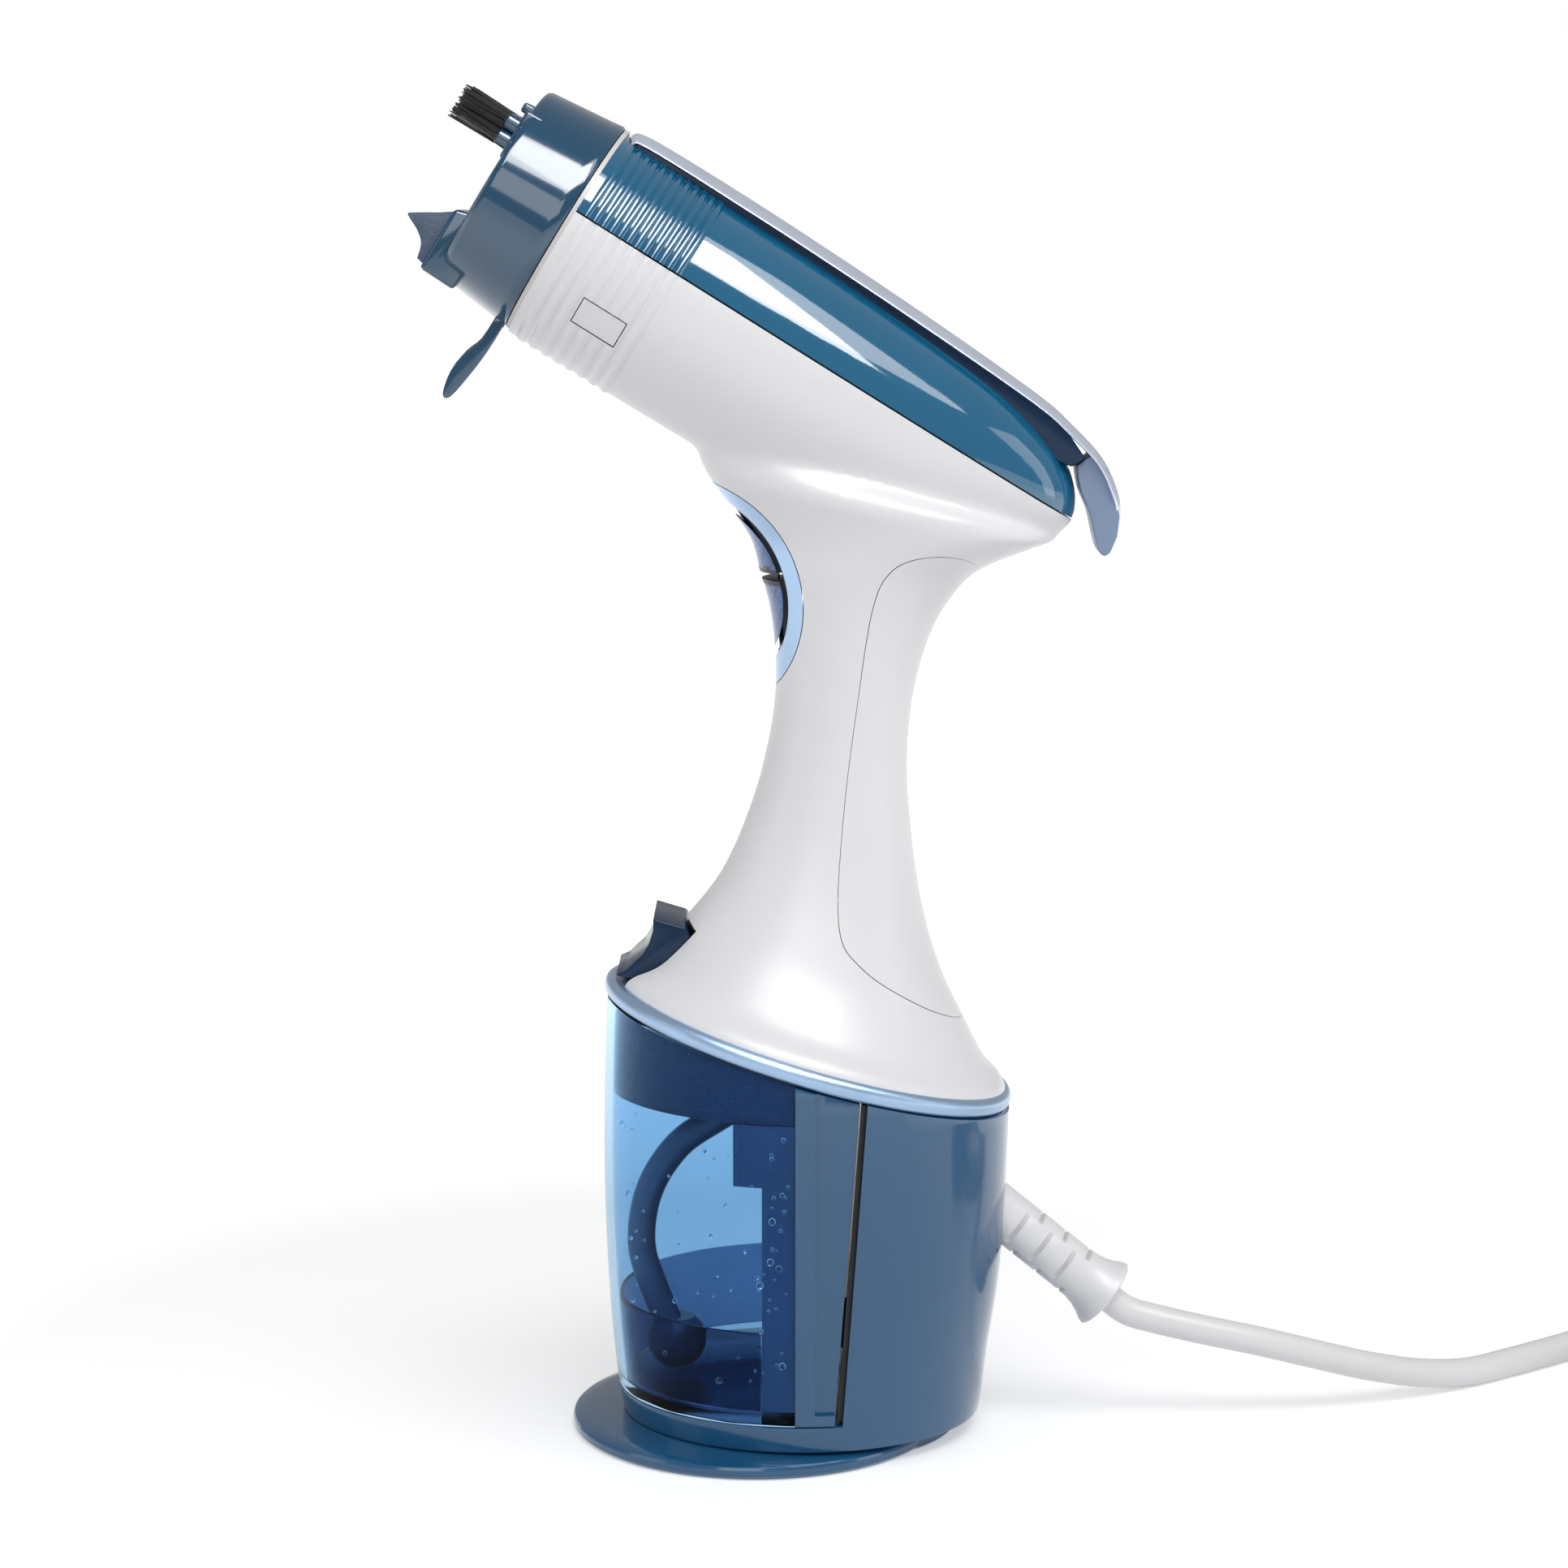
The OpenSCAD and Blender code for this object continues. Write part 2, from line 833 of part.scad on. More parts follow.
// Outline of the trim on top of the head, ending in a hook at the rear
trim_low = head_radius - 1.2;
trim_top = trim_low + 2.4;
trim_end = head_length + 11;
trim_outline = [
    [10, trim_low], [10, trim_top - 0.3], [31, trim_top], [58, trim_top - 0.4],
    [84, trim_top - 1.2], [trim_end - 33, trim_top - 2.6], [trim_end - 23, trim_top - 4.2],
    [trim_end - 13, trim_top - 6.9], [trim_end - 6, trim_top - 11.3],
    [trim_end - 2, trim_top - 15.6], [trim_end, trim_top - 25.2],
    [trim_end - 1.1, trim_top - 26.9], [trim_end - 5, trim_top - 24],
    [trim_end - 10, trim_top - 17], [trim_end - 14.4, trim_top - 12.5],
    [trim_end - 17, trim_top - 9.2], [trim_end - 24, trim_top - 6.6],
    [trim_end - 34, trim_top - 4.4], [84, trim_low - 0.4]
];
trim_half = 8;
module top_trim() {
    color("lightsteelblue")
        head_frame()
            side_cut(trim_half)
                polygon(trim_outline);
}
module hook_screw() {
    color("silver")
        head_frame()
            translate([trim_end - 17.5, 0, trim_top - 12])
                cylinder(r = 1.2, h = 1.7);
}

cap_u0 = 11.5;
cap_length = 11;
cap_w0 = -16;
cap_height = 6;
module side_cap_pockets(gap) {
    head_frame()
        for (side = [-1, 1])
            translate([cap_u0 - gap, side * (head_radius - 4) - 6, cap_w0 - gap])
                cube([cap_length + 2 * gap, 12, cap_height + 2 * gap]);
}
module side_caps() {
    color("white")
        intersection() {
            difference() {
                head_form(0.2);
                head_form(wall);
            }
            side_cap_pockets(0);
        }
}

// ---------------------------------------------------------------- brush

collar_u0 = -collar_length - 1.2;
collar_front_r = head_radius - 2.3;
collar_back_r = head_radius - 0.3;
module brush_collar() {
    color("teal")
        head_frame() {
            difference() {
                translate([collar_u0, 0, 0])
                    rotate([0, 90, 0])
                        cylinder(r1 = collar_front_r, r2 = collar_back_r, h = collar_length);
                head_rod(nozzle_r + slide_gap, collar_u0 - 1, 1);
            }
            translate([-3.6, -7, -head_radius - 19.7])
                cube([2.4, 14, 20.5]);
        }
}
holder_u0 = collar_u0 - 7.5;
module tuft_holder() {
    color("teal")
        head_frame()
            difference() {
                intersection() {
                    head_rod(collar_front_r, holder_u0, collar_u0);
                    translate([-far / 2, -far / 2, 5])
                        cube([far, far, 14]);
                }
                head_rod(nozzle_r + slide_gap, collar_u0 - plate_room, collar_u0 + 1);
            }
}
tuft_r = 1.3;
tuft_pitch = 4.6;
module bristles() {
    color("black")
        head_frame()
            for (k = [0 : tufts_across - 1], row = [0, 1])
                head_rod(tuft_r, holder_u0 - bristle_length, holder_u0,
                    10 + row * 4, (k - (tufts_across - 1) / 2) * tuft_pitch);
}
plate_room = 3.6;
blade_half = 13;
blade_outline = [
    [collar_u0 - plate_room, -24], [collar_u0 - plate_room, -9],
    [collar_u0 - 7, -9], [collar_u0 - 10, -12], [collar_u0 - 15, -15.8], [collar_u0 - 12, -19.5],
    [collar_u0 - 8, -23], [collar_u0 - 5, -24.4]
];
module fabric_blade() {
    color("midnightblue")
        head_frame() {
            side_cut(blade_half)
                polygon(blade_outline);
            difference() {
                intersection() {
                    head_rod(collar_front_r, collar_u0 - plate_room, collar_u0);
                    translate([-far / 2, -blade_half, -far])
                        cube([far, 2 * blade_half, far - 9]);
                }
                head_rod(nozzle_r + slide_gap, collar_u0 - plate_room - 1, collar_u0 + 1);
            }
        }
}

// ---------------------------------------------------------------- cord

module strain_relief() {
    color("white")
        relief_frame() {
            translate([0, 0, -8])
                cylinder(r = relief_root_r, h = relief_length + 8 - 6);
            translate([0, 0, relief_length - 6])
                cylinder(r1 = relief_root_r, r2 = relief_mouth_r, h = 6);
        }
}
module cord_clamp() {
    color("dimgray")
        relief_frame()
            translate([-5.5, -7, -13])
                cube([11, 14, 5]);
}

// Route of the cord from the relief over the floor to the coil, chosen by hand
cord_route = [
    [92, 0, 25.2], [104, 0.5, 22.2], [118, 2, 18.8], [132, 5, 14.6], [146, 10, 10],
    [160, 17, 6], [173, 25, 3.7], [186, 34.2, 3.5], [199, 44, 3.5], [211, 53.6, 3.5],
    [222.5, 62.6, 3.5]
];
coil_at = [266, 34];
coil_wide = 10.5;
coil_deep = 14;
module power_cord() {
    color("white")
        sweep_tube(smooth(concat([relief_point(relief_length), relief_point(relief_length + 6)],
            cord_route), 1), cord_d / 2, 8, [0, 0, 1]);
}
module cord_coil() {
    color("white")
        translate([coil_at[0], coil_at[1], 0])
            rotate_extrude()
                translate([coil_r - coil_wide, 0])
                    square([2 * coil_wide, coil_deep]);
}
tail_route = [
    [312, 9, 8.5], [309, -2, 7.5], [302, -11.5, 8], [292.5, -19, 10], [281.5, -24, 13],
    [269, -26.6, 16.6], [255, -27, 18.5]
];
module cord_tail() {
    color("white")
        sweep_tube(tail_route, cord_d / 2, 8, [0, 0, 1]);
}
plug_back = 255;
plug_y = -27;
plug_length = 36;
module plug_body() {
    color("white")
        translate([plug_back, plug_y, plug_r])
            rotate([0, -90, 0]) {
                cylinder(r1 = 6, r2 = plug_r * 0.7, h = 12);
                translate([0, 0, 12])
                    cylinder(r1 = plug_r * 0.7, r2 = plug_r, h = 12);
                translate([0, 0, 24])
                    cylinder(r = plug_r, h = plug_length - 24);
            }
}
pin_spacing = 19;
module plug_pins() {
    color("silver")
        for (side = [-1, 1])
            translate([plug_back - plug_length, plug_y + side * pin_spacing / 2, plug_r])
                rotate([0, -90, 0])
                    cylinder(r = 2.4, h = 19);
}

foot_disc();
base_housing();
base_screws();
trim_ring();
tank_shell();
tank_back();
tank_lid();
filler_plug();
pickup_hose();
pickup_weight();
tank_valve();
inlet_port();
inlet_hose();
pump_body();
pump_mounts();
main_housing();
rear_cover();
release_button();
thumb_bezel();
steam_trigger();
power_button();
switch_bracket();
microswitches();
control_board();
water_hose();
heater_block();
thermostat();
thermal_fuse();
nozzle_core();
steam_plate();
steam_gasket();
front_ring();
head_cover();
top_trim();
hook_screw();
side_caps();
brush_collar();
tuft_holder();
bristles();
fabric_blade();
strain_relief();
cord_clamp();
power_cord();
cord_coil();
cord_tail();
plug_body();
plug_pins();
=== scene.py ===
"""Garment steamer: finishes, fine shells, cord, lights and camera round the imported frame.

Lengths in the tables and helpers are in millimetres; every mesh is scaled to metres when it is made.
The head points along -X, the cord leaves along +X, the near side is -Y and the floor is z = 0.
"""
import math
import random

import bmesh
import bpy
from mathutils import Matrix, Vector


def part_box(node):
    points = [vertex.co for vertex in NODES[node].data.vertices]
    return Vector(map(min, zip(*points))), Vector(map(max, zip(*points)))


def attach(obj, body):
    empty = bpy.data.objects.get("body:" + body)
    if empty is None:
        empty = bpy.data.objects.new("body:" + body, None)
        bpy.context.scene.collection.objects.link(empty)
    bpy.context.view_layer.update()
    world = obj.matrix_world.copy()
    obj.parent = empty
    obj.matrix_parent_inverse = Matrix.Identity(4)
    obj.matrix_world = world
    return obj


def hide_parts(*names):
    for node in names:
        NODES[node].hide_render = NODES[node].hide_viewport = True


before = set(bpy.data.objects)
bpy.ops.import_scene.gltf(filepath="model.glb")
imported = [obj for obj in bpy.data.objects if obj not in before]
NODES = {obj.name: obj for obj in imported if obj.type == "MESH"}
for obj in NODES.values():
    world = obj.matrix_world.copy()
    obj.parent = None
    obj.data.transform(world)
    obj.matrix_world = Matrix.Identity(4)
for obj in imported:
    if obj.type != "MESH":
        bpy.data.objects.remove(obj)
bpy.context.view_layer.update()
MM = 0.001
TURN = 2 * math.pi
random.seed(7)

# ---------------------------------------------------------------- shared sizes, as in the CAD
BASE_MID, BASE_LENGTH, BASE_WIDTH, BASE_HEIGHT = 9.6, 96.6, 89.0, 96.3
RING_TILT, RING_THICK, TRAY, FOOT_TOP = 16.5, 4.4, 10.6, 4.6
WAIST_FRONT, WAIST_DEPTH, WAIST_WIDTH, WALL = 1.3, 32.0, 32.8, 2.4
HEAD_REACH, HEAD_HEIGHT, HEAD_TILT = 44.9, 282.6, 32.0
HEAD_R, HEAD_LENGTH, SEAM = 26.8, 133.0, 5.2
NOZZLE_R, COLLAR_LENGTH = 22.3, 15.8
BEZEL_R, BEZEL_BAND, BUTTON_PRESS = 30.0, 2.6, 2.1
GAP_X, GAP_LEAN, TANK_BACK, LID_LEVEL = 16.0, 4.0, 9.5, 83.0
CORD_D, RELIEF_ANGLE, RELIEF_HEIGHT, RELIEF_LENGTH = 7.0, 39.0, 51.0, 31.5
COIL_R, COIL_AT = 42.0, (266.0, 34.0)
PLUG_BACK, PLUG_Y, PLUG_R = 255.0, -27.0, 18.5

BASE_FRONT = BASE_MID - BASE_LENGTH / 2
BASE_REAR = BASE_MID + BASE_LENGTH / 2
HANDLE_TOP = HEAD_HEIGHT - 60.6
BASE_TOP = BASE_HEIGHT + 22
RELIEF_X = BASE_REAR - 1.6
TANK_SPLIT = GAP_X - TANK_BACK
THUMB_AT = (WAIST_FRONT - 22.8, HANDLE_TOP - 25)
FAR = 400.0
SIDES, ROD_SIDES = 128, 160


# ---------------------------------------------------------------- mesh helpers
def make(name, verts, faces):
    """A mesh object from points in millimetres."""
    mesh = bpy.data.meshes.new(name)
    mesh.from_pydata([Vector(v) * MM for v in verts], [], faces)
    mesh.validate()
    model = bmesh.new()
    model.from_mesh(mesh)
    if model.calc_volume(signed=True) < 0:
        bmesh.ops.reverse_faces(model, faces=model.faces)
        model.to_mesh(mesh)
    model.free()
    mesh.update()
    obj = bpy.data.objects.new(name, mesh)
    bpy.context.scene.collection.objects.link(obj)
    return obj


def loft(name, rings):
    """A closed solid through rings that all have the same number of points."""
    count = len(rings[0])
    verts = [p for ring in rings for p in ring]
    faces = [tuple(range(count - 1, -1, -1))]
    for i in range(len(rings) - 1):
        for k in range(count):
            n = (k + 1) % count
            faces.append((i * count + k, i * count + n, (i + 1) * count + n, (i + 1) * count + k))
    last = (len(rings) - 1) * count
    faces.append(tuple(range(last, last + count)))
    return make(name, verts, faces)


def loop_loft(name, sections):
    """A closed ring through sections, the last joined to the first."""
    count, total = len(sections[0]), len(sections)
    verts = [p for ring in sections for p in ring]
    faces = []
    for i in range(total):
        j = (i + 1) % total
        for k in range(count):
            n = (k + 1) % count
            faces.append((i * count + k, j * count + k, j * count + n, i * count + n))
    return make(name, verts, faces)


def lathe(name, profile, place, sides=96):
    """Turns (along, radius) pairs round the x axis of a frame. A radius of 0 closes an end."""
    rings = []
    for along, radius in profile:
        r = max(radius, 0.01)
        rings.append([place @ Vector((along, r * math.cos(TURN * k / sides),
                                      r * math.sin(TURN * k / sides))) for k in range(sides)])
    return loft(name, rings)


def prism(name, outline, half, place=Matrix.Identity(4)):
    """An outline of (x, z) pairs, drawn out to both sides along y."""
    rings = [[place @ Vector((x, y, z)) for x, z in outline] for y in (-half, half)]
    return loft(name, rings)


def block(name, low, high, place=Matrix.Identity(4)):
    x0, y0, z0 = low
    x1, y1, z1 = high
    rings = [[place @ Vector(p) for p in ((x0, y0, z), (x1, y0, z), (x1, y1, z), (x0, y1, z))]
             for z in (z0, z1)]
    return loft(name, rings)


def rod(name, radius, x, z):
    """A cylinder along y through a point of the side view."""
    outline = [(x + radius * math.cos(TURN * k / ROD_SIDES), z + radius * math.sin(TURN * k / ROD_SIDES))
               for k in range(ROD_SIDES)]
    return prism(name, outline, FAR)


def tube(name, points, radius, resolution):
    """A round curve object of one open line through the points."""
    curve = bpy.data.curves.new(name, "CURVE")
    curve.dimensions = "3D"
    curve.bevel_depth = radius * MM
    curve.bevel_resolution = resolution
    curve.use_fill_caps = True
    line = curve.splines.new("POLY")
    line.points.add(len(points) - 1)
    for point, place in zip(line.points, points):
        point.co = (place[0] * MM, place[1] * MM, place[2] * MM, 1)
    line.use_smooth = True
    obj = bpy.data.objects.new(name, curve)
    bpy.context.scene.collection.objects.link(obj)
    return obj


def settle(obj):
    """Applies every modifier to the mesh."""
    graph = bpy.context.evaluated_depsgraph_get()
    mesh = bpy.data.meshes.new_from_object(obj.evaluated_get(graph))
    obj.modifiers.clear()
    obj.data = mesh
    return obj


def drop(*objs):
    for obj in objs:
        bpy.data.objects.remove(obj)


def combine(obj, tool, operation):
    """Boolean of obj with tool. The tool is removed."""
    mod = obj.modifiers.new("combine", "BOOLEAN")
    mod.operation = operation
    mod.solver = "MANIFOLD"
    mod.object = tool
    settle(obj)
    drop(tool)
    return obj


def cut(obj, tool):
    return combine(obj, tool, "DIFFERENCE")


def common(obj, tool):
    return combine(obj, tool, "INTERSECT")


def join(obj, tool):
    return combine(obj, tool, "UNION")


def copy(obj, name):
    twin = obj.copy()
    twin.data = obj.data.copy()
    twin.name = name
    bpy.context.scene.collection.objects.link(twin)
    return twin


def merge(name, objs):
    """One object out of several, as separate solids in one mesh."""
    verts, faces = [], []
    for obj in objs:
        start = len(verts)
        verts += [v.co / MM for v in obj.data.vertices]
        faces += [tuple(start + i for i in poly.vertices) for poly in obj.data.polygons]
    drop(*objs)
    return make(name, verts, faces)


def smooth(obj, angle=32):
    obj.data.shade_smooth()
    obj.data.set_sharp_from_angle(angle=math.radians(angle))
    return obj


def bevel(obj, width, segments=3, angle=35):
    mod = obj.modifiers.new("bevel", "BEVEL")
    mod.width = width * MM
    mod.segments = segments
    mod.limit_method = "ANGLE"
    mod.angle_limit = math.radians(angle)
    mod.use_clamp_overlap = True
    return settle(obj)


def spline(points, steps):
    """Points along a smooth curve through the given ones."""
    out = []
    last = len(points) - 1
    for i in range(last):
        a, b = points[max(i - 1, 0)], points[i]
        c, d = points[i + 1], points[min(i + 2, last)]
        for k in range(steps):
            t = k / steps
            out.append([0.5 * (2 * b[j] + (c[j] - a[j]) * t
                               + (2 * a[j] - 5 * b[j] + 4 * c[j] - d[j]) * t * t
                               + (3 * b[j] - a[j] - 3 * c[j] + d[j]) * t ** 3)
                        for j in range(len(b))])
    out.append(list(points[last]))
    return out


def frame_at(x, z, tilt):
    """A frame at a point of the mid plane, turned nose up by tilt degrees."""
    return Matrix.Translation((x, 0, z)) @ Matrix.Rotation(math.radians(tilt), 4, "Y")


HEAD = frame_at(-HEAD_REACH, HEAD_HEIGHT, HEAD_TILT)
RELIEF = frame_at(RELIEF_X, RELIEF_HEIGHT, RELIEF_ANGLE)


def ring_frame(down=0.0):
    z = BASE_HEIGHT - down / math.cos(math.radians(RING_TILT))
    return frame_at(BASE_MID, z, RING_TILT)


def above(place, shift=0.0):
    return block("above", (-FAR, -FAR, shift), (FAR, FAR, FAR), place)


def below(place, shift=0.0):
    return block("below", (-FAR, -FAR, -FAR), (FAR, FAR, shift), place)


# ---------------------------------------------------------------- materials
CLOUD_SIZE, GRAIN_HEIGHT = 38.0, 0.0002


def maths(tree, operation, *values):
    """The result of a Math node whose inputs are numbers or other nodes' outputs."""
    node = tree.nodes.new("ShaderNodeMath")
    node.operation = operation
    for socket, value in zip(node.inputs, values):
        if isinstance(value, bpy.types.NodeSocket):
            tree.links.new(value, socket)
        else:
            socket.default_value = value
    return node.outputs[0]


def rescale(tree, value, low, high, start=0.0, end=1.0):
    """Turns a value between start and end into one between low and high."""
    node = tree.nodes.new("ShaderNodeMapRange")
    for name, number in (("From Min", start), ("From Max", end), ("To Min", low), ("To Max", high)):
        node.inputs[name].default_value = number
    tree.links.new(value, node.inputs["Value"])
    return node.outputs["Result"]


def material(name, colour, rough=0.3, metal=0.0, coat=0.0, grain=0.0, grain_size=900.0,
             vary=0.04, rough_vary=0.06, clear=0.0, ior=1.46, coat_rough=0.05):
    """A moulded or metal finish: cloudy colour, uneven gloss and a fine grain, all procedural."""
    mat = bpy.data.materials.new(name)
    mat.use_nodes = True
    nodes, links = mat.node_tree.nodes, mat.node_tree.links
    shader = nodes["Principled BSDF"]
    shader.inputs["Metallic"].default_value = metal
    shader.inputs["IOR"].default_value = ior
    shader.inputs["Coat Weight"].default_value = coat
    shader.inputs["Coat Roughness"].default_value = coat_rough
    shader.inputs["Transmission Weight"].default_value = clear
    place = nodes.new("ShaderNodeTexCoord")
    cloud = nodes.new("ShaderNodeTexNoise")
    cloud.inputs["Scale"].default_value = CLOUD_SIZE
    cloud.inputs["Detail"].default_value = 5.0
    links.new(place.outputs["Object"], cloud.inputs["Vector"])
    ramp = nodes.new("ShaderNodeValToRGB")
    ramp.color_ramp.elements[0].position = 0.25
    ramp.color_ramp.elements[1].position = 0.75
    ramp.color_ramp.elements[0].color = [c * (1 - vary) for c in colour] + [1]
    ramp.color_ramp.elements[1].color = [min(c * (1 + vary), 1) for c in colour] + [1]
    links.new(cloud.outputs["Fac"], ramp.inputs["Fac"])
    links.new(ramp.outputs["Color"], shader.inputs["Base Color"])
    gloss = rescale(mat.node_tree, cloud.outputs["Fac"], max(rough - rough_vary / 2, 0.02),
                    rough + rough_vary / 2)
    links.new(gloss, shader.inputs["Roughness"])
    if grain:
        fine = nodes.new("ShaderNodeTexNoise")
        fine.inputs["Scale"].default_value = grain_size
        fine.inputs["Detail"].default_value = 3.0
        links.new(place.outputs["Object"], fine.inputs["Vector"])
        bump = nodes.new("ShaderNodeBump")
        bump.inputs["Strength"].default_value = grain
        bump.inputs["Distance"].default_value = GRAIN_HEIGHT
        links.new(fine.outputs["Fac"], bump.inputs["Height"])
        links.new(bump.outputs["Normal"], shader.inputs["Normal"])
    return mat


NET_SLOPE, NET_LINE = 1.25, 0.26


def net_material(name, colour, line_colour, pitch):
    """Blue plastic over a diamond net of dark lines, as on the buttons."""
    mat = material(name, colour, rough=0.25, coat=0.2, vary=0.12)
    nodes, links = mat.node_tree.nodes, mat.node_tree.links
    shader = nodes["Principled BSDF"]
    place = nodes.new("ShaderNodeTexCoord")
    split = nodes.new("ShaderNodeSeparateXYZ")
    links.new(place.outputs["Object"], split.inputs["Vector"])
    lines = []
    for slope in (NET_SLOPE, -NET_SLOPE):
        slant = maths(mat.node_tree, "MULTIPLY_ADD", split.outputs["Y"], slope, split.outputs["Z"])
        wrap = maths(mat.node_tree, "PINGPONG", slant, pitch * MM)
        lines.append(maths(mat.node_tree, "LESS_THAN", wrap, NET_LINE * MM))
    mix = nodes.new("ShaderNodeMix")
    mix.data_type = "RGBA"
    links.new(maths(mat.node_tree, "MAXIMUM", *lines), mix.inputs["Factor"])
    links.new(nodes["Color Ramp"].outputs["Color"], mix.inputs["A"])
    mix.inputs["B"].default_value = list(line_colour) + [1]
    links.new(mix.outputs["Result"], shader.inputs["Base Color"])
    return mat


TEAL = material("teal_plastic", (0.010, 0.088, 0.205), 0.16, coat=0.5, grain=0.05)
DEEP_TEAL = material("collar_plastic", (0.005, 0.060, 0.130), 0.12, coat=0.7, grain=0.03)
COVER_TEAL = material("cover_plastic", (0.002, 0.120, 0.245), 0.07, coat=1.0, grain=0.02)
WHITE = material("white_plastic", (0.80, 0.80, 0.82), 0.40, coat=0.10, grain=0.04, vary=0.01,
                 coat_rough=0.2)
SILVER_BLUE = material("trim_paint", (0.33, 0.47, 0.66), 0.30, metal=0.75, coat=0.3, grain=0.35,
                       grain_size=4200.0, vary=0.06)
# Top trim paint: a pale metallic blue, lifted paler to stand in for the trim's reflection of the light
# from above, so real pale paint with a painted highlight in it.
TRIM_PAINT_LIT = material("top_trim_paint_lit", (0.66, 0.72, 0.86), 0.30, metal=0.55, coat=0.4, grain=0.3,
                     grain_size=4200.0, vary=0.04)
# Painted shade: the hook web is the same paint as the top trim, given this darker colour to stand in for
# the shade it sits in.
HOOK_SHADE_PAINT = material("hook_painted_shade", (0.20, 0.27, 0.40), 0.42, metal=0.2, grain=0.3,
                      grain_size=4200.0, vary=0.04)
TANK_BLUE = material("tank_clear", (0.42, 0.64, 0.84), 0.05, clear=1.0, ior=1.12, vary=0.03,
                     rough_vary=0.03)
LID_BLUE = material("lid_clear", (0.018, 0.04, 0.10), 0.10, clear=0.25, ior=1.4, vary=0.08)
# Painted shade: the dark blue of the block inside the rear of the tank stands in for shade seen through
# the clear tank.
TANK_SHADE_BLUE = material("tank_painted_shade", (0.020, 0.050, 0.125), 0.25, coat=0.3, vary=0.15)
# Painted shade: the darker clear liner at the bottom of the tank stands in for the shade seen through
# the lower tank walls.
TANK_FLOOR_SHADE_BLUE = material("tank_floor_painted_shade", (0.20, 0.27, 0.42), 0.08, clear=1.0, ior=1.1, vary=0.05)
DARK_CLEAR = material("release_clear", (0.006, 0.026, 0.068), 0.24, coat=0.05, ior=1.28, vary=0.1)
SOFT_GREY = material("soft_grey", (0.30, 0.33, 0.36), 0.45, grain=0.1, vary=0.05)
HOSE = material("pickup_silicone", (0.05, 0.09, 0.17), 0.30, grain=0.08, vary=0.06)
RUBBER = material("black_rubber", (0.012, 0.014, 0.018), 0.5, grain=0.2, vary=0.1)
CORD_WHITE = material("cord_sheath", (0.80, 0.80, 0.81), 0.38, grain=0.12, vary=0.015)
STEEL = material("bright_steel", (0.62, 0.62, 0.63), 0.22, metal=1.0, grain=0.1, vary=0.03)
BRASS = material("nickel_pin", (0.72, 0.69, 0.62), 0.2, metal=1.0, grain=0.08, vary=0.03)
CAST = material("cast_alloy", (0.50, 0.51, 0.52), 0.42, metal=0.9, grain=0.7, grain_size=1500.0)
IVORY = material("inner_plastic", (0.55, 0.53, 0.47), 0.5, grain=0.15, vary=0.05)
BOARD = material("circuit_board", (0.02, 0.16, 0.06), 0.35, grain=0.3, grain_size=1800.0)
PAD = material("blade_grain", (0.045, 0.075, 0.13), 0.55, grain=0.9, grain_size=2600.0, vary=0.2)
HAIR = material("bristle_nylon", (0.010, 0.010, 0.011), 0.35, vary=0.3)
SEAL = material("pale_seal", (0.66, 0.65, 0.63), 0.42, grain=0.1, vary=0.03)
DARK_END = material("button_end", (0.006, 0.008, 0.018), 0.4, vary=0.15)
BUTTON = net_material("button_net", (0.022, 0.115, 0.38), (0.003, 0.008, 0.030), 2.5)
DROP = material("water_drop", (0.80, 0.90, 0.97), 0.03, clear=1.0, ior=1.33, vary=0.01)


def finish_piece(obj, mat, body, *nodes, slot):
    """Gives a made piece its finish and its body, and hides the CAD nodes it stands for."""
    obj.data.materials.clear()
    obj.data.materials.append(mat)
    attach(obj, body)
    if nodes:
        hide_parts(*nodes)
    return obj


def repaint(node, mat):
    """A CAD node whose shape stays gets its material."""
    mesh = NODES[node].data
    mesh.materials.clear()
    mesh.materials.append(mat)


# ---------------------------------------------------------------- camera
EYE = Vector((4, -850, 287.6)) * MM
AIM = Vector((4, 0, 154.6)) * MM
lens = bpy.data.cameras.new("camera")
lens.sensor_width = 36.0
lens.lens = 84.3727
lens.clip_end = 20.0
camera = bpy.data.objects.new("camera", lens)
camera.location = EYE
camera.rotation_euler = (AIM - EYE).to_track_quat("-Z", "Y").to_euler()
bpy.context.scene.collection.objects.link(camera)
bpy.context.scene.camera = camera


# ---------------------------------------------------------------- cord
def relief_point(t):
    return list(RELIEF @ Vector((t, 0, 0)))


ROUTE = [
    [92, 0, 25.2], [104, 0.5, 22.2], [118, 2, 18.8], [132, 5, 14.6], [146, 10, 10],
    [160, 17, 6], [173, 25, 3.7], [186, 34.2, 3.5], [199, 44, 3.5], [211, 53.6, 3.5],
    [222.5, 62.6, 3.5],
]
TAIL = [
    [309, -2, 7.5], [302, -11.5, 8], [292.5, -19, 10], [281.5, -24, 13], [269, -26.6, 16.6],
    [PLUG_BACK, PLUG_Y, PLUG_R],
]


def coil_turns():
    """Three turns inwards on the floor, then outwards again on top of them."""
    enter, leave, per_turn = math.radians(127), math.radians(-14), 48
    radii = [COIL_R + CORD_D, COIL_R, COIL_R - CORD_D, COIL_R - CORD_D, COIL_R, COIL_R + CORD_D]
    turns = len(radii) - 1 + (enter - leave) / TURN
    points = []
    for k in range(int(turns * per_turn) + 1):
        t = k / per_turn
        turn = int(t)
        ease = max(0.0, (t - turn - 0.7) / 0.3)
        ease = ease * ease * (3 - 2 * ease)
        nxt = min(turn + 1, len(radii) - 1)
        r = radii[turn] + (radii[nxt] - radii[turn]) * ease
        level = [0, 0, 0, 1, 1, 1]
        z = CORD_D * (0.5 + level[turn] + (level[nxt] - level[turn]) * ease)
        angle = enter - TURN * t
        points.append([COIL_AT[0] + r * math.cos(angle), COIL_AT[1] + r * math.sin(angle), z])
    return points


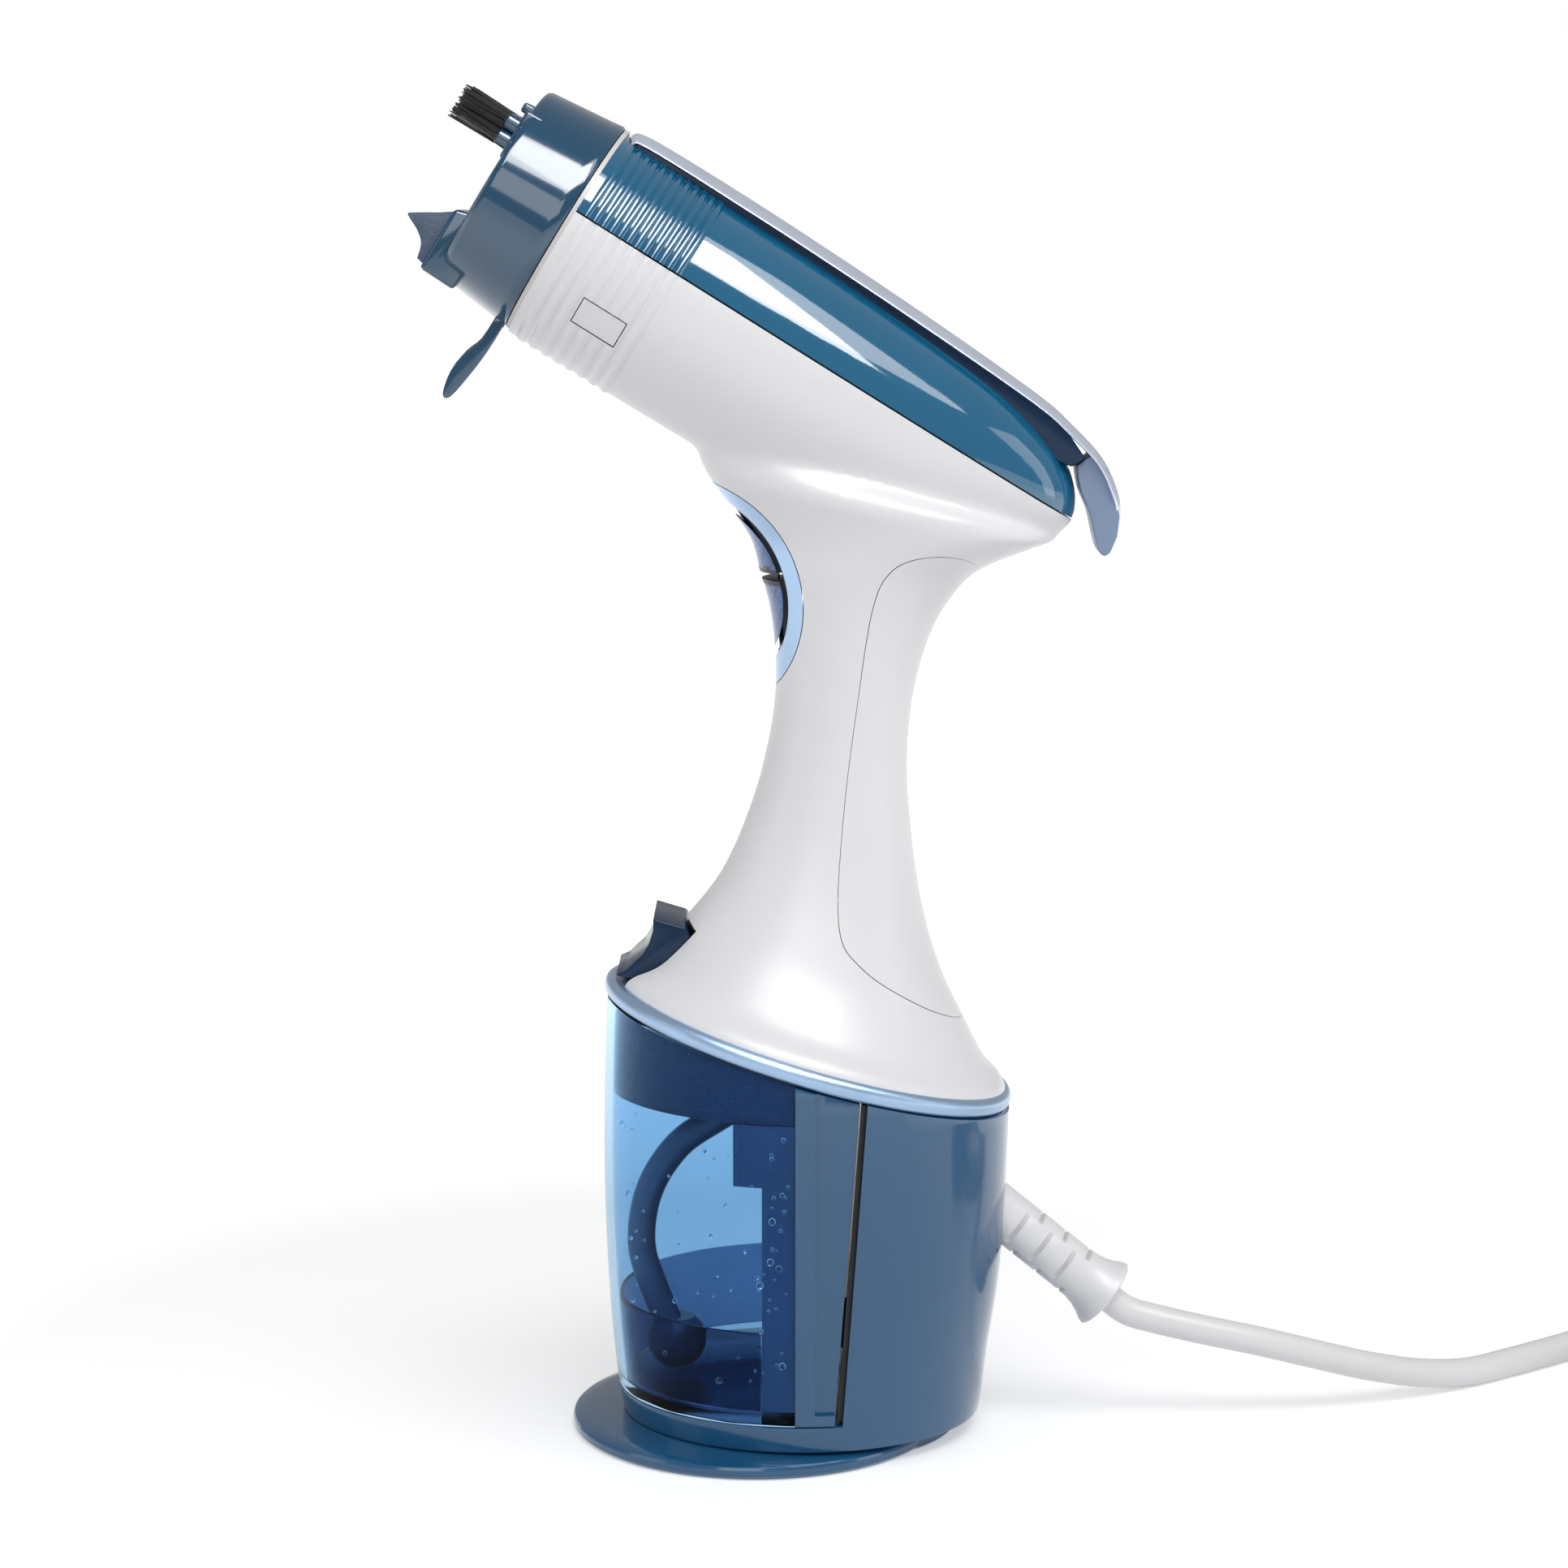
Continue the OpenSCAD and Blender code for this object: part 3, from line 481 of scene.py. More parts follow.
cord_points = spline([relief_point(RELIEF_LENGTH - 3), relief_point(RELIEF_LENGTH + 6)] + ROUTE, 5)
cord_points += spline([cord_points[-1], coil_turns()[0]], 3)[1:-1] + coil_turns()
cord_points += spline([cord_points[-1]] + TAIL, 5)[1:]
mains_cord = tube("mains_cord", cord_points, CORD_D / 2, 8)
finish_piece(mains_cord, CORD_WHITE, "root", "power_cord", "cord_coil", "cord_tail", slot="white_cord")

PLUG = Matrix.Translation((PLUG_BACK, PLUG_Y, PLUG_R)) @ Matrix.Rotation(math.pi, 4, "Z")
plug_profile = [(-1, 0), (-1, 4.6), (0, 5.4), (4, 5.6), (8, 7.2), (11, 9.8), (13, 12.2), (15, 13.8),
                (20, 15.2), (24, 17.0), (25.5, 17.9), (27, 18.3), (34.6, 18.3), (35.5, 17.9),
                (36, 17.2), (36, 0)]
plug = smooth(lathe("plug", plug_profile, PLUG))
for side in (-1, 1):
    low, high = sorted((side * 15.6, side * 20))
    cut(plug, block("grip", (16, low, -6), (32, high, 6), PLUG))
smooth(bevel(plug, 0.5, 2))
finish_piece(plug, CORD_WHITE, "root", "plug_body", slot="white_cord")
repaint("plug_pins", BRASS)

relief_profile = [(-8, 0), (-8, 5.6), (-7.4, 6.15), (20, 6.15), (24, 6.3), (26.5, 6.8), (28.6, 7.6),
                  (30.2, 8.5), (31.2, 8.85), (31.5, 8.5), (31.3, 6.5), (30, 4.2), (28, 3.7), (28, 0)]
relief = lathe("strain_relief", relief_profile, RELIEF, 80)
SLOTS, SLOT_FIRST, SLOT_PITCH, SLOT_WIDTH, SLOT_HALF = 6, 3.2, 3.6, 1.2, 4.6
for k in range(SLOTS):
    start = SLOT_FIRST + SLOT_PITCH * k
    end = start + SLOT_WIDTH
    for side in (-1, 1):
        low, high = sorted((side * 4.4, side * 9))
        if k % 2:
            slot = block("slot", (start, -SLOT_HALF, low), (end, SLOT_HALF, high), RELIEF)
        else:
            slot = block("slot", (start, low, -SLOT_HALF), (end, high, SLOT_HALF), RELIEF)
        cut(relief, slot)
smooth(bevel(relief, 0.35, 2, 50))
finish_piece(relief, CORD_WHITE, "root", "strain_relief", slot="white_cord")


# ---------------------------------------------------------------- outer forms
def oval(cx, cz, half_x, half_y, tilt=0.0):
    """A tilted ellipse about a point of the mid plane."""
    c, s = math.cos(math.radians(tilt)), math.sin(math.radians(tilt))
    ring = []
    for k in range(SIDES):
        x, y = half_x * math.cos(TURN * k / SIDES), half_y * math.sin(TURN * k / SIDES)
        ring.append((cx + x * c, y, cz - x * s))
    return ring


BASE_STATIONS = [
    (0.00, 0.14, 0.18, 0.82), (0.045, 0.085, 0.145, 0.85), (0.16, 0.045, 0.11, 0.885),
    (0.33, 0.015, 0.05, 0.935), (0.55, 0.000, 0.02, 0.975), (0.80, 0.010, 0.002, 1.0),
    (1.00, 0.040, 0.000, 1.0),
]
BASE_ROWS = spline(BASE_STATIONS, 6)


def base_form(name, inset=0.0):
    """The base and the tank as one solid, drawn in by inset."""
    rings = []
    for share, front, rear, half in BASE_ROWS:
        x0 = BASE_FRONT + front * BASE_LENGTH / 2 + inset
        x1 = BASE_REAR - rear * BASE_LENGTH / 2 - inset
        rings.append(oval((x0 + x1) / 2, share * BASE_TOP, (x1 - x0) / 2,
                          half * BASE_WIDTH / 2 - inset))
    return loft(name, rings)


RING_HALF, RING_FRONT, RING_BACK = BASE_WIDTH / 2 - 1.2, BASE_FRONT + 3.6, BASE_REAR - 1.4
WAIST_BACK, WAIST_HALF = WAIST_FRONT + WAIST_DEPTH, WAIST_WIDTH / 2
HANDLE_STATIONS = [
    (0.000, RING_FRONT, RING_BACK, (RING_BACK - RING_FRONT) * math.tan(math.radians(RING_TILT)),
     RING_HALF),
    (0.041, RING_FRONT + 8.1, RING_BACK - 4.6, 26.0, RING_HALF - 6.2),
    (0.117, RING_FRONT + 16.3, RING_BACK - 9.8, 25.0, RING_HALF - 13.1),
    (0.193, WAIST_FRONT - 13.6, WAIST_BACK + 8.2, 22.0, WAIST_HALF + 9.2),
    (0.268, WAIST_FRONT - 9.5, WAIST_BACK + 4.5, 18.0, WAIST_HALF + 5.6),
    (0.348, WAIST_FRONT - 6.2, WAIST_BACK + 2.0, 14.0, WAIST_HALF + 2.8),
    (0.427, WAIST_FRONT - 3.5, WAIST_BACK + 0.5, 10.0, WAIST_HALF + 1.1),
    (0.507, WAIST_FRONT - 1.5, WAIST_BACK - 0.4, 6.0, WAIST_HALF + 0.3),
    (0.586, WAIST_FRONT, WAIST_BACK, 2.0, WAIST_HALF),
    (0.666, WAIST_FRONT + 0.7, WAIST_BACK + 1.8, -1.0, WAIST_HALF + 0.3),
    (0.746, WAIST_FRONT + 0.3, WAIST_BACK + 5.2, -2.0, WAIST_HALF + 1.0),
    (0.809, WAIST_FRONT - 0.9, WAIST_BACK + 9.5, -1.0, WAIST_HALF + 2.0),
    (0.865, WAIST_FRONT - 3.1, WAIST_BACK + 15.9, 0.0, WAIST_HALF + 3.4),
    (0.912, WAIST_FRONT - 4.9, WAIST_BACK + 28.0, 2.0, WAIST_HALF + 5.1),
    (0.952, WAIST_FRONT - 9.9, WAIST_BACK + 34.2, 7.5, WAIST_HALF + 6.6),
    (1.000, WAIST_FRONT - 16.5, WAIST_BACK + 32.0, 16.0, WAIST_HALF + 7.6),
    (1.055, WAIST_FRONT - 18.6, WAIST_BACK + 31.7, 25.7, WAIST_HALF + 1),
]
HEAD_STATIONS = [
    (-0.05, -HEAD_R, HEAD_R - 1.4, HEAD_R), (0.25, -HEAD_R, HEAD_R - 1.5, HEAD_R - 0.2),
    (0.47, -HEAD_R + 1, HEAD_R - 2.0, HEAD_R - 1.4), (0.65, -HEAD_R + 5, HEAD_R - 3.0, HEAD_R - 3.8),
    (0.78, -HEAD_R + 10, HEAD_R - 4.4, HEAD_R - 6.6),
    (0.885, -HEAD_R + 17, HEAD_R - 7.6, HEAD_R - 10.8),
    (0.945, -HEAD_R + 21.5, HEAD_R - 11.6, HEAD_R - 14.6),
    (0.982, -HEAD_R + 26, HEAD_R - 16.2, HEAD_R - 19.4),
    (1.000, -HEAD_R + 30.2, HEAD_R - 20.6, HEAD_R - 24.0),
]


def handle_form(name, inset=0.0):
    """The handle, carried on a little below the ring so that its lower edge is cut clean."""
    rings = []
    below_ring = (-0.09,) + HANDLE_STATIONS[0][1:]
    for share, front, rear, rise, half in spline([below_ring] + HANDLE_STATIONS, 5):
        run = rear - front
        z = BASE_HEIGHT + (HANDLE_TOP - BASE_HEIGHT) * share
        rings.append(oval((front + rear) / 2, z, math.hypot(run, rise) / 2 - inset, half - inset,
                          math.degrees(math.atan2(rise, run))))
    return loft(name, rings)


def head_form(name, inset=0.0):
    """The head, drawn in by inset."""
    rings = []
    for share, low, high, half in spline(HEAD_STATIONS, 6):
        u, mid = share * (HEAD_LENGTH - inset), (low + high) / 2
        up, wide = max((high - low) / 2 - inset, 0.4), max(half - inset, 0.4)
        rings.append([HEAD @ Vector((u, wide * math.sin(TURN * k / SIDES),
                                     mid + up * math.cos(TURN * k / SIDES)))
                      for k in range(SIDES)])
    return loft(name, rings)


VOXEL = 0.9
handset = join(handle_form("handset"), head_form("head"))
remesh = handset.modifiers.new("remesh", "REMESH")
remesh.mode = "VOXEL"
remesh.voxel_size = VOXEL * MM
relax = handset.modifiers.new("relax", "SMOOTH")
relax.factor = 0.5
relax.iterations = 22
settle(handset)
inner = join(handle_form("inner", WALL), head_form("inner_head", WALL))
shell = cut(copy(handset, "shell"), inner)
cut(shell, below(ring_frame()))
cut(shell, below(HEAD @ Matrix.Rotation(math.radians(90), 4, "Y")))

# ---------------------------------------------------------------- white shells and head cover
COVER_X = WAIST_BACK - 15.5
cover_seam = spline([
    (COVER_X + 34.7, HANDLE_TOP - 19), (COVER_X + 27.7, HANDLE_TOP - 13.5),
    (COVER_X + 18, HANDLE_TOP - 12.6), (COVER_X + 10.5, HANDLE_TOP - 15.8),
    (COVER_X + 6.4, HANDLE_TOP - 24.7), (COVER_X + 3, HANDLE_TOP - 47),
    (COVER_X, HANDLE_TOP - 71.6), (COVER_X - 1.2, HANDLE_TOP - 96.4),
    (COVER_X + 3.9, HANDLE_TOP - 106), (COVER_X + 17.1, HANDLE_TOP - 115.6),
    (COVER_X + 32, HANDLE_TOP - 124.2),
], 6) + [(FAR, HANDLE_TOP - 124.2), (FAR, HANDLE_TOP - 19)]
SEAM_GAP, SEAM_MIDDLE = 0.14, HANDLE_TOP - 40
seam_wide = [(x - SEAM_GAP, z + (SEAM_GAP if z > SEAM_MIDDLE else -SEAM_GAP)) for x, z in cover_seam]

rear_cover = common(copy(shell, "rear_cover"), prism("region", cover_seam, FAR))
finish_piece(smooth(rear_cover), WHITE, "root", "rear_cover", slot="white_shell")

head_cover = common(copy(shell, "head_cover"), above(HEAD, SEAM + 0.4))
main_housing = shell
main_housing.name = "main_housing"
cut(main_housing, above(HEAD, SEAM))
cut(main_housing, prism("region", seam_wide, FAR))
cut(main_housing, rod("thumb", BEZEL_R, *THUMB_AT))

RELEASE_FOOT = (RING_FRONT + 2.9, BASE_HEIGHT + 14.9)
release_outline = [(RELEASE_FOOT[0] + x, RELEASE_FOOT[1] + z) for x, z in (
    (0, -0.6), (-3.1, 0.2), (-0.6, 1.3), (1.2, 3.1), (3.2, 4.9), (4.8, 7.6), (5.7, 10.6), (5.8, 13.7),
    (13.1, 11.5), (14.6, 9.0), (8.4, 1.2), (3.2, -1.2))]
RELEASE_HALF = 12.0
window = [(RELEASE_FOOT[0] + x, RELEASE_FOOT[1] + z) for x, z in (
    (-12, -6), (-12, 15), (10, 15), (14.0, 12.2), (19, 8), (12, -2.5), (6, -6))]
cut(main_housing, prism("window", window, RELEASE_HALF + 0.4))


def rib_rings(name, count, first, pitch, radius, sink):
    """Raised rings round the front of the head."""
    rings = []
    for k in range(count):
        u = first + k * pitch
        sections = []
        for i in range(160):
            a = TURN * i / 160
            out = Vector((0, math.sin(a), math.cos(a)))
            mid = Vector((u, (HEAD_R - 0.05) * math.sin(a), -0.7 + (HEAD_R - 0.75) * math.cos(a)))
            mid -= out * sink
            sections.append([HEAD @ (mid + Vector((radius * math.cos(TURN * j / 14), 0, 0))
                                     + out * radius * math.sin(TURN * j / 14)) for j in range(14)])
        rings.append(loop_loft("rib", sections))
    return merge(name, rings)


CAP_LOW, CAP_HIGH, CAP_ROOM = (11.3, -16.2), (22.7, -9.8), 0.25


def cap_block(side, inset=0.0):
    """The space of a side cap, or the cap itself where it is drawn in."""
    return block("cap", (CAP_LOW[0] + inset, side * 23 - 7, CAP_LOW[1] + inset),
                 (CAP_HIGH[0] - inset, side * 23 + 7, CAP_HIGH[1] - inset), HEAD)


white_ribs = rib_rings("white_ribs", 8, 3.4, 3.15, 1.9, 1.38)
cut(white_ribs, above(HEAD, SEAM))
for side in (-1, 1):
    cut(white_ribs, cap_block(side))
join(main_housing, white_ribs)
for side in (-1, 1):
    cut(main_housing, cap_block(side))
finish_piece(smooth(main_housing, 40), WHITE, "root", "main_housing", slot="white_shell")

caps = []
for side in (-1, 1):
    cap = common(copy(handset, "side_cap"), cap_block(side, CAP_ROOM))
    cut(cap, head_form("cap_inner", WALL - 0.3))
    caps.append(cap)
side_caps = merge("side_caps", caps)
finish_piece(smooth(side_caps), WHITE, "root", "side_caps", slot="white_shell")

teal_ribs = rib_rings("teal_ribs", 12, 2.6, 2.15, 1.02, 0.5)
common(teal_ribs, above(HEAD, SEAM + 0.4))
join(head_cover, teal_ribs)
finish_piece(smooth(head_cover, 40), COVER_TEAL, "root", "head_cover", slot="teal_shell")

# ---------------------------------------------------------------- thumb recess
bezel = common(copy(handset, "thumb_bezel"), rod("outer", BEZEL_R - 0.2, *THUMB_AT))
POCKET_R, POCKET_AT = BEZEL_R - BEZEL_BAND, (THUMB_AT[0] - 0.9, THUMB_AT[1])
cut(bezel, rod("pocket", POCKET_R, *POCKET_AT))
STEM_HALF = 6.0


def band(name, half):
    """Everything within half of the mid plane."""
    return block(name, (-FAR, -half, -FAR), (FAR, half, FAR))


stem_room = handle_form("stem_room", 0.9)
common(stem_room, rod("room_edge", BEZEL_R - 0.1, *THUMB_AT))
common(stem_room, band("room_width", STEM_HALF + 0.4))
cut(bezel, stem_room)
smooth(bevel(bezel, 0.35, 2, 45), 40)
finish_piece(bezel, SILVER_BLUE, "root", "thumb_bezel", slot="ring_metallic")

SPLIT_Z = HANDLE_TOP - 18
END = 1.3
lens_form = common(copy(handset, "lens"), rod("lens_back", POCKET_R - BUTTON_PRESS, *THUMB_AT))
stem_form = handle_form("stem", 1.2)
common(stem_form, rod("stem_edge", POCKET_R + 0.8, *THUMB_AT))
cut(stem_form, rod("stem_inner", POCKET_R - BUTTON_PRESS - 0.4, *THUMB_AT))
common(stem_form, band("stem_width", STEM_HALF))
gasket = handle_form("thumb_gasket", 0.3)
common(gasket, rod("gasket_outer", POCKET_R, *POCKET_AT))
cut(gasket, rod("gasket_inner", POCKET_R - 2.6, *THUMB_AT))
cut(gasket, band("press_room", 11.7))
finish_piece(smooth(gasket, 40), DARK_END, "root", slot="dark_rubber")
SPLIT_HALF = 0.8
for name, low, high, body in (("steam_trigger", SPLIT_Z + SPLIT_HALF, FAR, "trigger"),
                              ("power_button", -FAR, SPLIT_Z - SPLIT_HALF, "power")):
    part_low, part_high = (-FAR, -FAR, low), (FAR, FAR, high)
    button = common(copy(lens_form, name), block("part", part_low, part_high))
    bevel(button, 0.4, 2, 50)
    cap_faces = len(button.data.polygons)
    stem = common(copy(stem_form, "stem_part"), block("part", part_low, part_high))
    button = smooth(merge(name, [button, stem]), 40)
    finish_piece(button, BUTTON, body, name, slot="button_blue")
    button.data.materials.append(DARK_END)
    edge = low if name == "steam_trigger" else high
    for poly in button.data.polygons:
        if poly.index >= cap_faces or abs(poly.center.z / MM - edge) < END:
            poly.material_index = 1
    button.data.update()
drop(lens_form, stem_form, handset)

release = bevel(prism("release_button", release_outline, RELEASE_HALF), 0.5, 3)
finish_piece(smooth(release), DARK_CLEAR, "release", "release_button", slot="dark_blue_clear")

# ---------------------------------------------------------------- base
def gap_plane(shift):
    """Frame whose +x side lies behind the tank's rear face."""
    return frame_at(GAP_X + shift, TRAY, GAP_LEAN)


def behind(shift):
    return block("behind", (0, -FAR, -FAR), (FAR, FAR, FAR), gap_plane(shift))


base = base_form("base_housing")
cut(base, block("foot", (-FAR, -FAR, -FAR), (FAR, FAR, FOOT_TOP)))
cut(base, above(ring_frame(RING_THICK)))
BASE_EDGE = 1.5
bay = block("bay", (-FAR, -FAR, -FAR), (0, FAR, FAR), gap_plane(BASE_EDGE))
cut(bay, block("tray", (-FAR, -FAR, -FAR), (FAR, FAR, TRAY)))
cut(base, bay)
hollow = base_form("hollow", 2.2)
common(hollow, behind(BASE_EDGE + 2.2))
cut(hollow, block("low", (-FAR, -FAR, -FAR), (FAR, FAR, TRAY)))
cut(base, hollow)
cut(base, lathe("relief_bore", [(-14, 0), (-14, 6.35), (16, 6.35), (16, 0)], RELIEF, 64))
smooth(bevel(base, 0.5, 3, 40))
finish_piece(base, TEAL, "root", "base_housing", slot="teal_shell")

# A black strip down the groove between the base and the tank back, as painted shade: the dark of the
# groove is shade, drawn as black rubber.
gap_shade_strip = base_form("gap_shade_strip", 1.6)
common(gap_shade_strip, block("strip", (0.15, -FAR, 1), (BASE_EDGE - 0.1, FAR, FAR), gap_plane(0)))
cut(gap_shade_strip, above(ring_frame(RING_THICK + 0.5)))
cut(gap_shade_strip, base_form("groove_inner", 4.5))
finish_piece(smooth(gap_shade_strip), RUBBER, "root", slot="dark_rubber")

ring_sections = []
RING_DEEP, RING_ROUND = 6.0, 1.9
RING_SHIFT = 0.8
half_x = BASE_LENGTH / 2 / math.cos(math.radians(RING_TILT)) + 0.4 - RING_SHIFT
for i in range(180):
    a = TURN * i / 180
    section = []
    for j in range(20):
        b = TURN * j / 20
        flat = RING_DEEP / 2 - RING_ROUND
        tall = RING_THICK / 2 - RING_ROUND
        x = RING_ROUND * math.cos(b) + math.copysign(flat, math.cos(b)) - RING_DEEP / 2
        z = RING_ROUND * math.sin(b) + math.copysign(tall, math.sin(b)) - RING_THICK / 2
        section.append(ring_frame() @ Vector((RING_SHIFT + (half_x + x) * math.cos(a),
                                             (BASE_WIDTH / 2 + 0.4 + x) * math.sin(a), z)))
    ring_sections.append(section)
ring = smooth(loop_loft("trim_ring", ring_sections), 60)
finish_piece(ring, SILVER_BLUE, "root", "trim_ring", slot="ring_metallic")

foot_profile = [(0, 0), (0, 42.6), (0.25, 43.4), (0.9, 44), (2.4, 44), (3.0, 43.7), (3.4, 43.0),
                (3.7, 40), (4.6, 30), (4.6, 0)]
foot_place = Matrix.Translation((-2.5, 0, 0)) @ Matrix.Rotation(math.radians(-90), 4, "Y")
foot = lathe("foot_disc", foot_profile, foot_place, 180)
heel_x = BASE_REAR - 0.18 * BASE_LENGTH / 2 - 34
heel_place = Matrix.Translation((heel_x, 0, 0)) @ Matrix.Rotation(math.radians(-90), 4, "Y")
join(foot, lathe("heel", [(0, 0), (0, 29.4), (0.6, 30), (4.6, 30), (4.6, 0)], heel_place, 128))
finish_piece(smooth(foot, 25), TEAL, "root", "foot_disc", slot="teal_shell")

# ---------------------------------------------------------------- tank
TANK_DROP = RING_THICK + 0.4


def tank_space(name, inset=0.0):
    obj = base_form(name, inset)
    cut(obj, block("low", (-FAR, -FAR, -FAR), (FAR, FAR, TRAY + 0.4 + inset)))
    cut(obj, above(ring_frame(TANK_DROP + inset)))
    cut(obj, behind(-0.4 - inset))
    return obj


tank = tank_space("tank_shell")
cut(tank, base_form("tank_inner", 2.0))
floor_plate = tank_space("floor_plate")
common(floor_plate, block("plate", (-FAR, -FAR, 0), (FAR, FAR, TRAY + 2.4)))
join(tank, floor_plate)
cut(tank, block("rear", (TANK_SPLIT, -FAR, -FAR), (FAR, FAR, FAR)))
smooth(bevel(tank, 0.5, 3, 40))
finish_piece(tank, TANK_BLUE, "tank", "tank_shell", slot="clear_blue")

back = tank_space("tank_back")
cut(back, tank_space("back_inner", 2.0))
cut(back, block("front", (-FAR, -FAR, -FAR), (TANK_SPLIT + 0.05, FAR, FAR)))
STRIP = 4.6
sunk = base_form("sunk", -2)
cut(sunk, base_form("sunk_inner", 1.1))
common(sunk, block("panel", (TANK_SPLIT + STRIP, -FAR, TRAY + 3), (FAR, FAR, FAR)))
cut(back, sunk)
smooth(bevel(back, 0.3, 2, 45))
finish_piece(back, TEAL, "tank", "tank_back", slot="teal_shell")

panel_cap = base_form("panel_cap", 1.3)
cut(panel_cap, base_form("cap_inner", 1.95))
common(panel_cap, block("top", (TANK_SPLIT + STRIP + 0.3, -FAR, LID_LEVEL - 7), (FAR, FAR, FAR)))
cut(panel_cap, above(ring_frame(TANK_DROP + 0.2)))
cut(panel_cap, behind(-1.2))
finish_piece(smooth(bevel(panel_cap, 0.15, 2, 45)), DEEP_TEAL, "tank", slot="teal_shell")

# A dark block with a step at its top, inside the rear of the clear tank, as painted shade: it darkens
# the view through the tank there.
SHADE_BLOCK_TOP = LID_LEVEL - 0.3
shade_block = base_form("tank_shade_block", 2.6)
common(shade_block, block("slab", (TANK_SPLIT - 7.5, -FAR, TRAY + 3.2),
                       (TANK_SPLIT - 0.1, FAR, SHADE_BLOCK_TOP)))
shoulder = base_form("shoulder", 2.6)
common(shoulder, block("step", (TANK_SPLIT - 14, -FAR, LID_LEVEL - 15),
                       (TANK_SPLIT - 7, FAR, SHADE_BLOCK_TOP)))
join(shade_block, shoulder)
smooth(bevel(shade_block, 1.6, 4, 40))
finish_piece(shade_block, TANK_SHADE_BLUE, "tank", slot="teal_shell")

# A darker clear liner round the lower part of the tank, as painted shade: it darkens the view through
# the tank walls above the tank floor and tray.
floor_shade_liner = base_form("tank_floor_shade_liner", 2.3)
cut(floor_shade_liner, base_form("floor_shade_liner_room", 3.3))
common(floor_shade_liner, block("low", (-FAR, -FAR, TRAY + 3.0), (TANK_SPLIT - 7.8, FAR, 33)))
finish_piece(smooth(bevel(floor_shade_liner, 0.3, 2, 45)), TANK_FLOOR_SHADE_BLUE, "tank", slot="clear_blue")

lid = base_form("tank_lid", 2.2)
cut(lid, above(ring_frame(TANK_DROP)))
cut(lid, block("low", (-FAR, -FAR, -FAR), (FAR, FAR, LID_LEVEL)))
cut(lid, block("rear", (TANK_SPLIT, -FAR, -FAR), (FAR, FAR, FAR)))
smooth(bevel(lid, 0.4, 2, 40))
finish_piece(lid, LID_BLUE, "tank", "tank_lid", slot="dark_blue_clear")

weight_low, weight_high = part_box("pickup_weight")
WEIGHT = [(a + b) / 2 / MM for a, b in zip(weight_low, weight_high)]
hose_points = spline([(-1, 0, LID_LEVEL), (-3, 0, LID_LEVEL - 3), (-11, 0, 75), (-21, 0, 68),
                      (-28, 0, 57), (-30, 0, 44), (-27, 0, 33), WEIGHT], 6)
pickup = tube("pickup_hose_soft", hose_points, 3.4, 5)
finish_piece(pickup, HOSE, "tank", "pickup_hose", slot="soft_grey")

TANK_SKIN, DROPS = 2.1, 90
drops = []
for k in range(DROPS):
    side = -1 if k % 4 else 1
    x = random.uniform(-34, 4) if k % 3 else random.uniform(-2, 5)
    z = random.uniform(16, 80)
    share = z / BASE_TOP
    row = min(BASE_ROWS, key=lambda s: abs(s[0] - share))
    x0 = BASE_FRONT + row[1] * BASE_LENGTH / 2 + TANK_SKIN
    x1 = BASE_REAR - row[2] * BASE_LENGTH / 2 - TANK_SKIN
    t = (x - (x0 + x1) / 2) / ((x1 - x0) / 2)
    if abs(t) > 0.93:
        continue
    y = side * (row[3] * BASE_WIDTH / 2 - TANK_SKIN) * math.sqrt(1 - t * t)
    r = random.choice((0.3, 0.35, 0.45, 0.55, 0.8))
    rings = [[(x + r * math.cos(TURN * i / 12) * math.cos(e), y - side * 0.55 * r * math.sin(e),
               z + 1.15 * r * math.sin(TURN * i / 12) * math.cos(e)) for i in range(12)]
             for e in (0, 0.5, 1.0, 1.4)]
    drops.append(loft("drop", rings))
droplets = smooth(merge("droplets", drops), 60)
finish_piece(droplets, DROP, "tank", slot="clear_blue")

# ---------------------------------------------------------------- top trim and hook
TRIM_LOW = HEAD_R - 1.2
TRIM_TOP = TRIM_LOW + 2.4
TRIM_END = HEAD_LENGTH + 11
trim_upper = spline([
    (0.6, TRIM_LOW + 0.2), (5, TRIM_TOP - 0.4), (31, TRIM_TOP), (58, TRIM_TOP - 0.4),
    (84, TRIM_TOP - 1.2), (TRIM_END - 33, TRIM_TOP - 2.6), (TRIM_END - 23, TRIM_TOP - 4.2),
    (TRIM_END - 13, TRIM_TOP - 6.9), (TRIM_END - 6, TRIM_TOP - 11.3),
    (TRIM_END - 2, TRIM_TOP - 15.6), (TRIM_END - 0.3, TRIM_TOP - 20),
    (TRIM_END + 0.4, TRIM_TOP - 24.6),
], 5)
trim_halves = [(0.6, 9.5), (30, 10.5), (80, 10), (TRIM_END - 20, 9), (TRIM_END - 6, 7.6), (TRIM_END, 5)]


def width_at(u):
    """Half the trim's width at a place along the head."""
    for (u0, w0), (u1, w1) in zip(trim_halves, trim_halves[1:]):
        if u <= u1:
            return w0 + (w1 - w0) * max(u - u0, 0) / (u1 - u0)
    return trim_halves[-1][1]


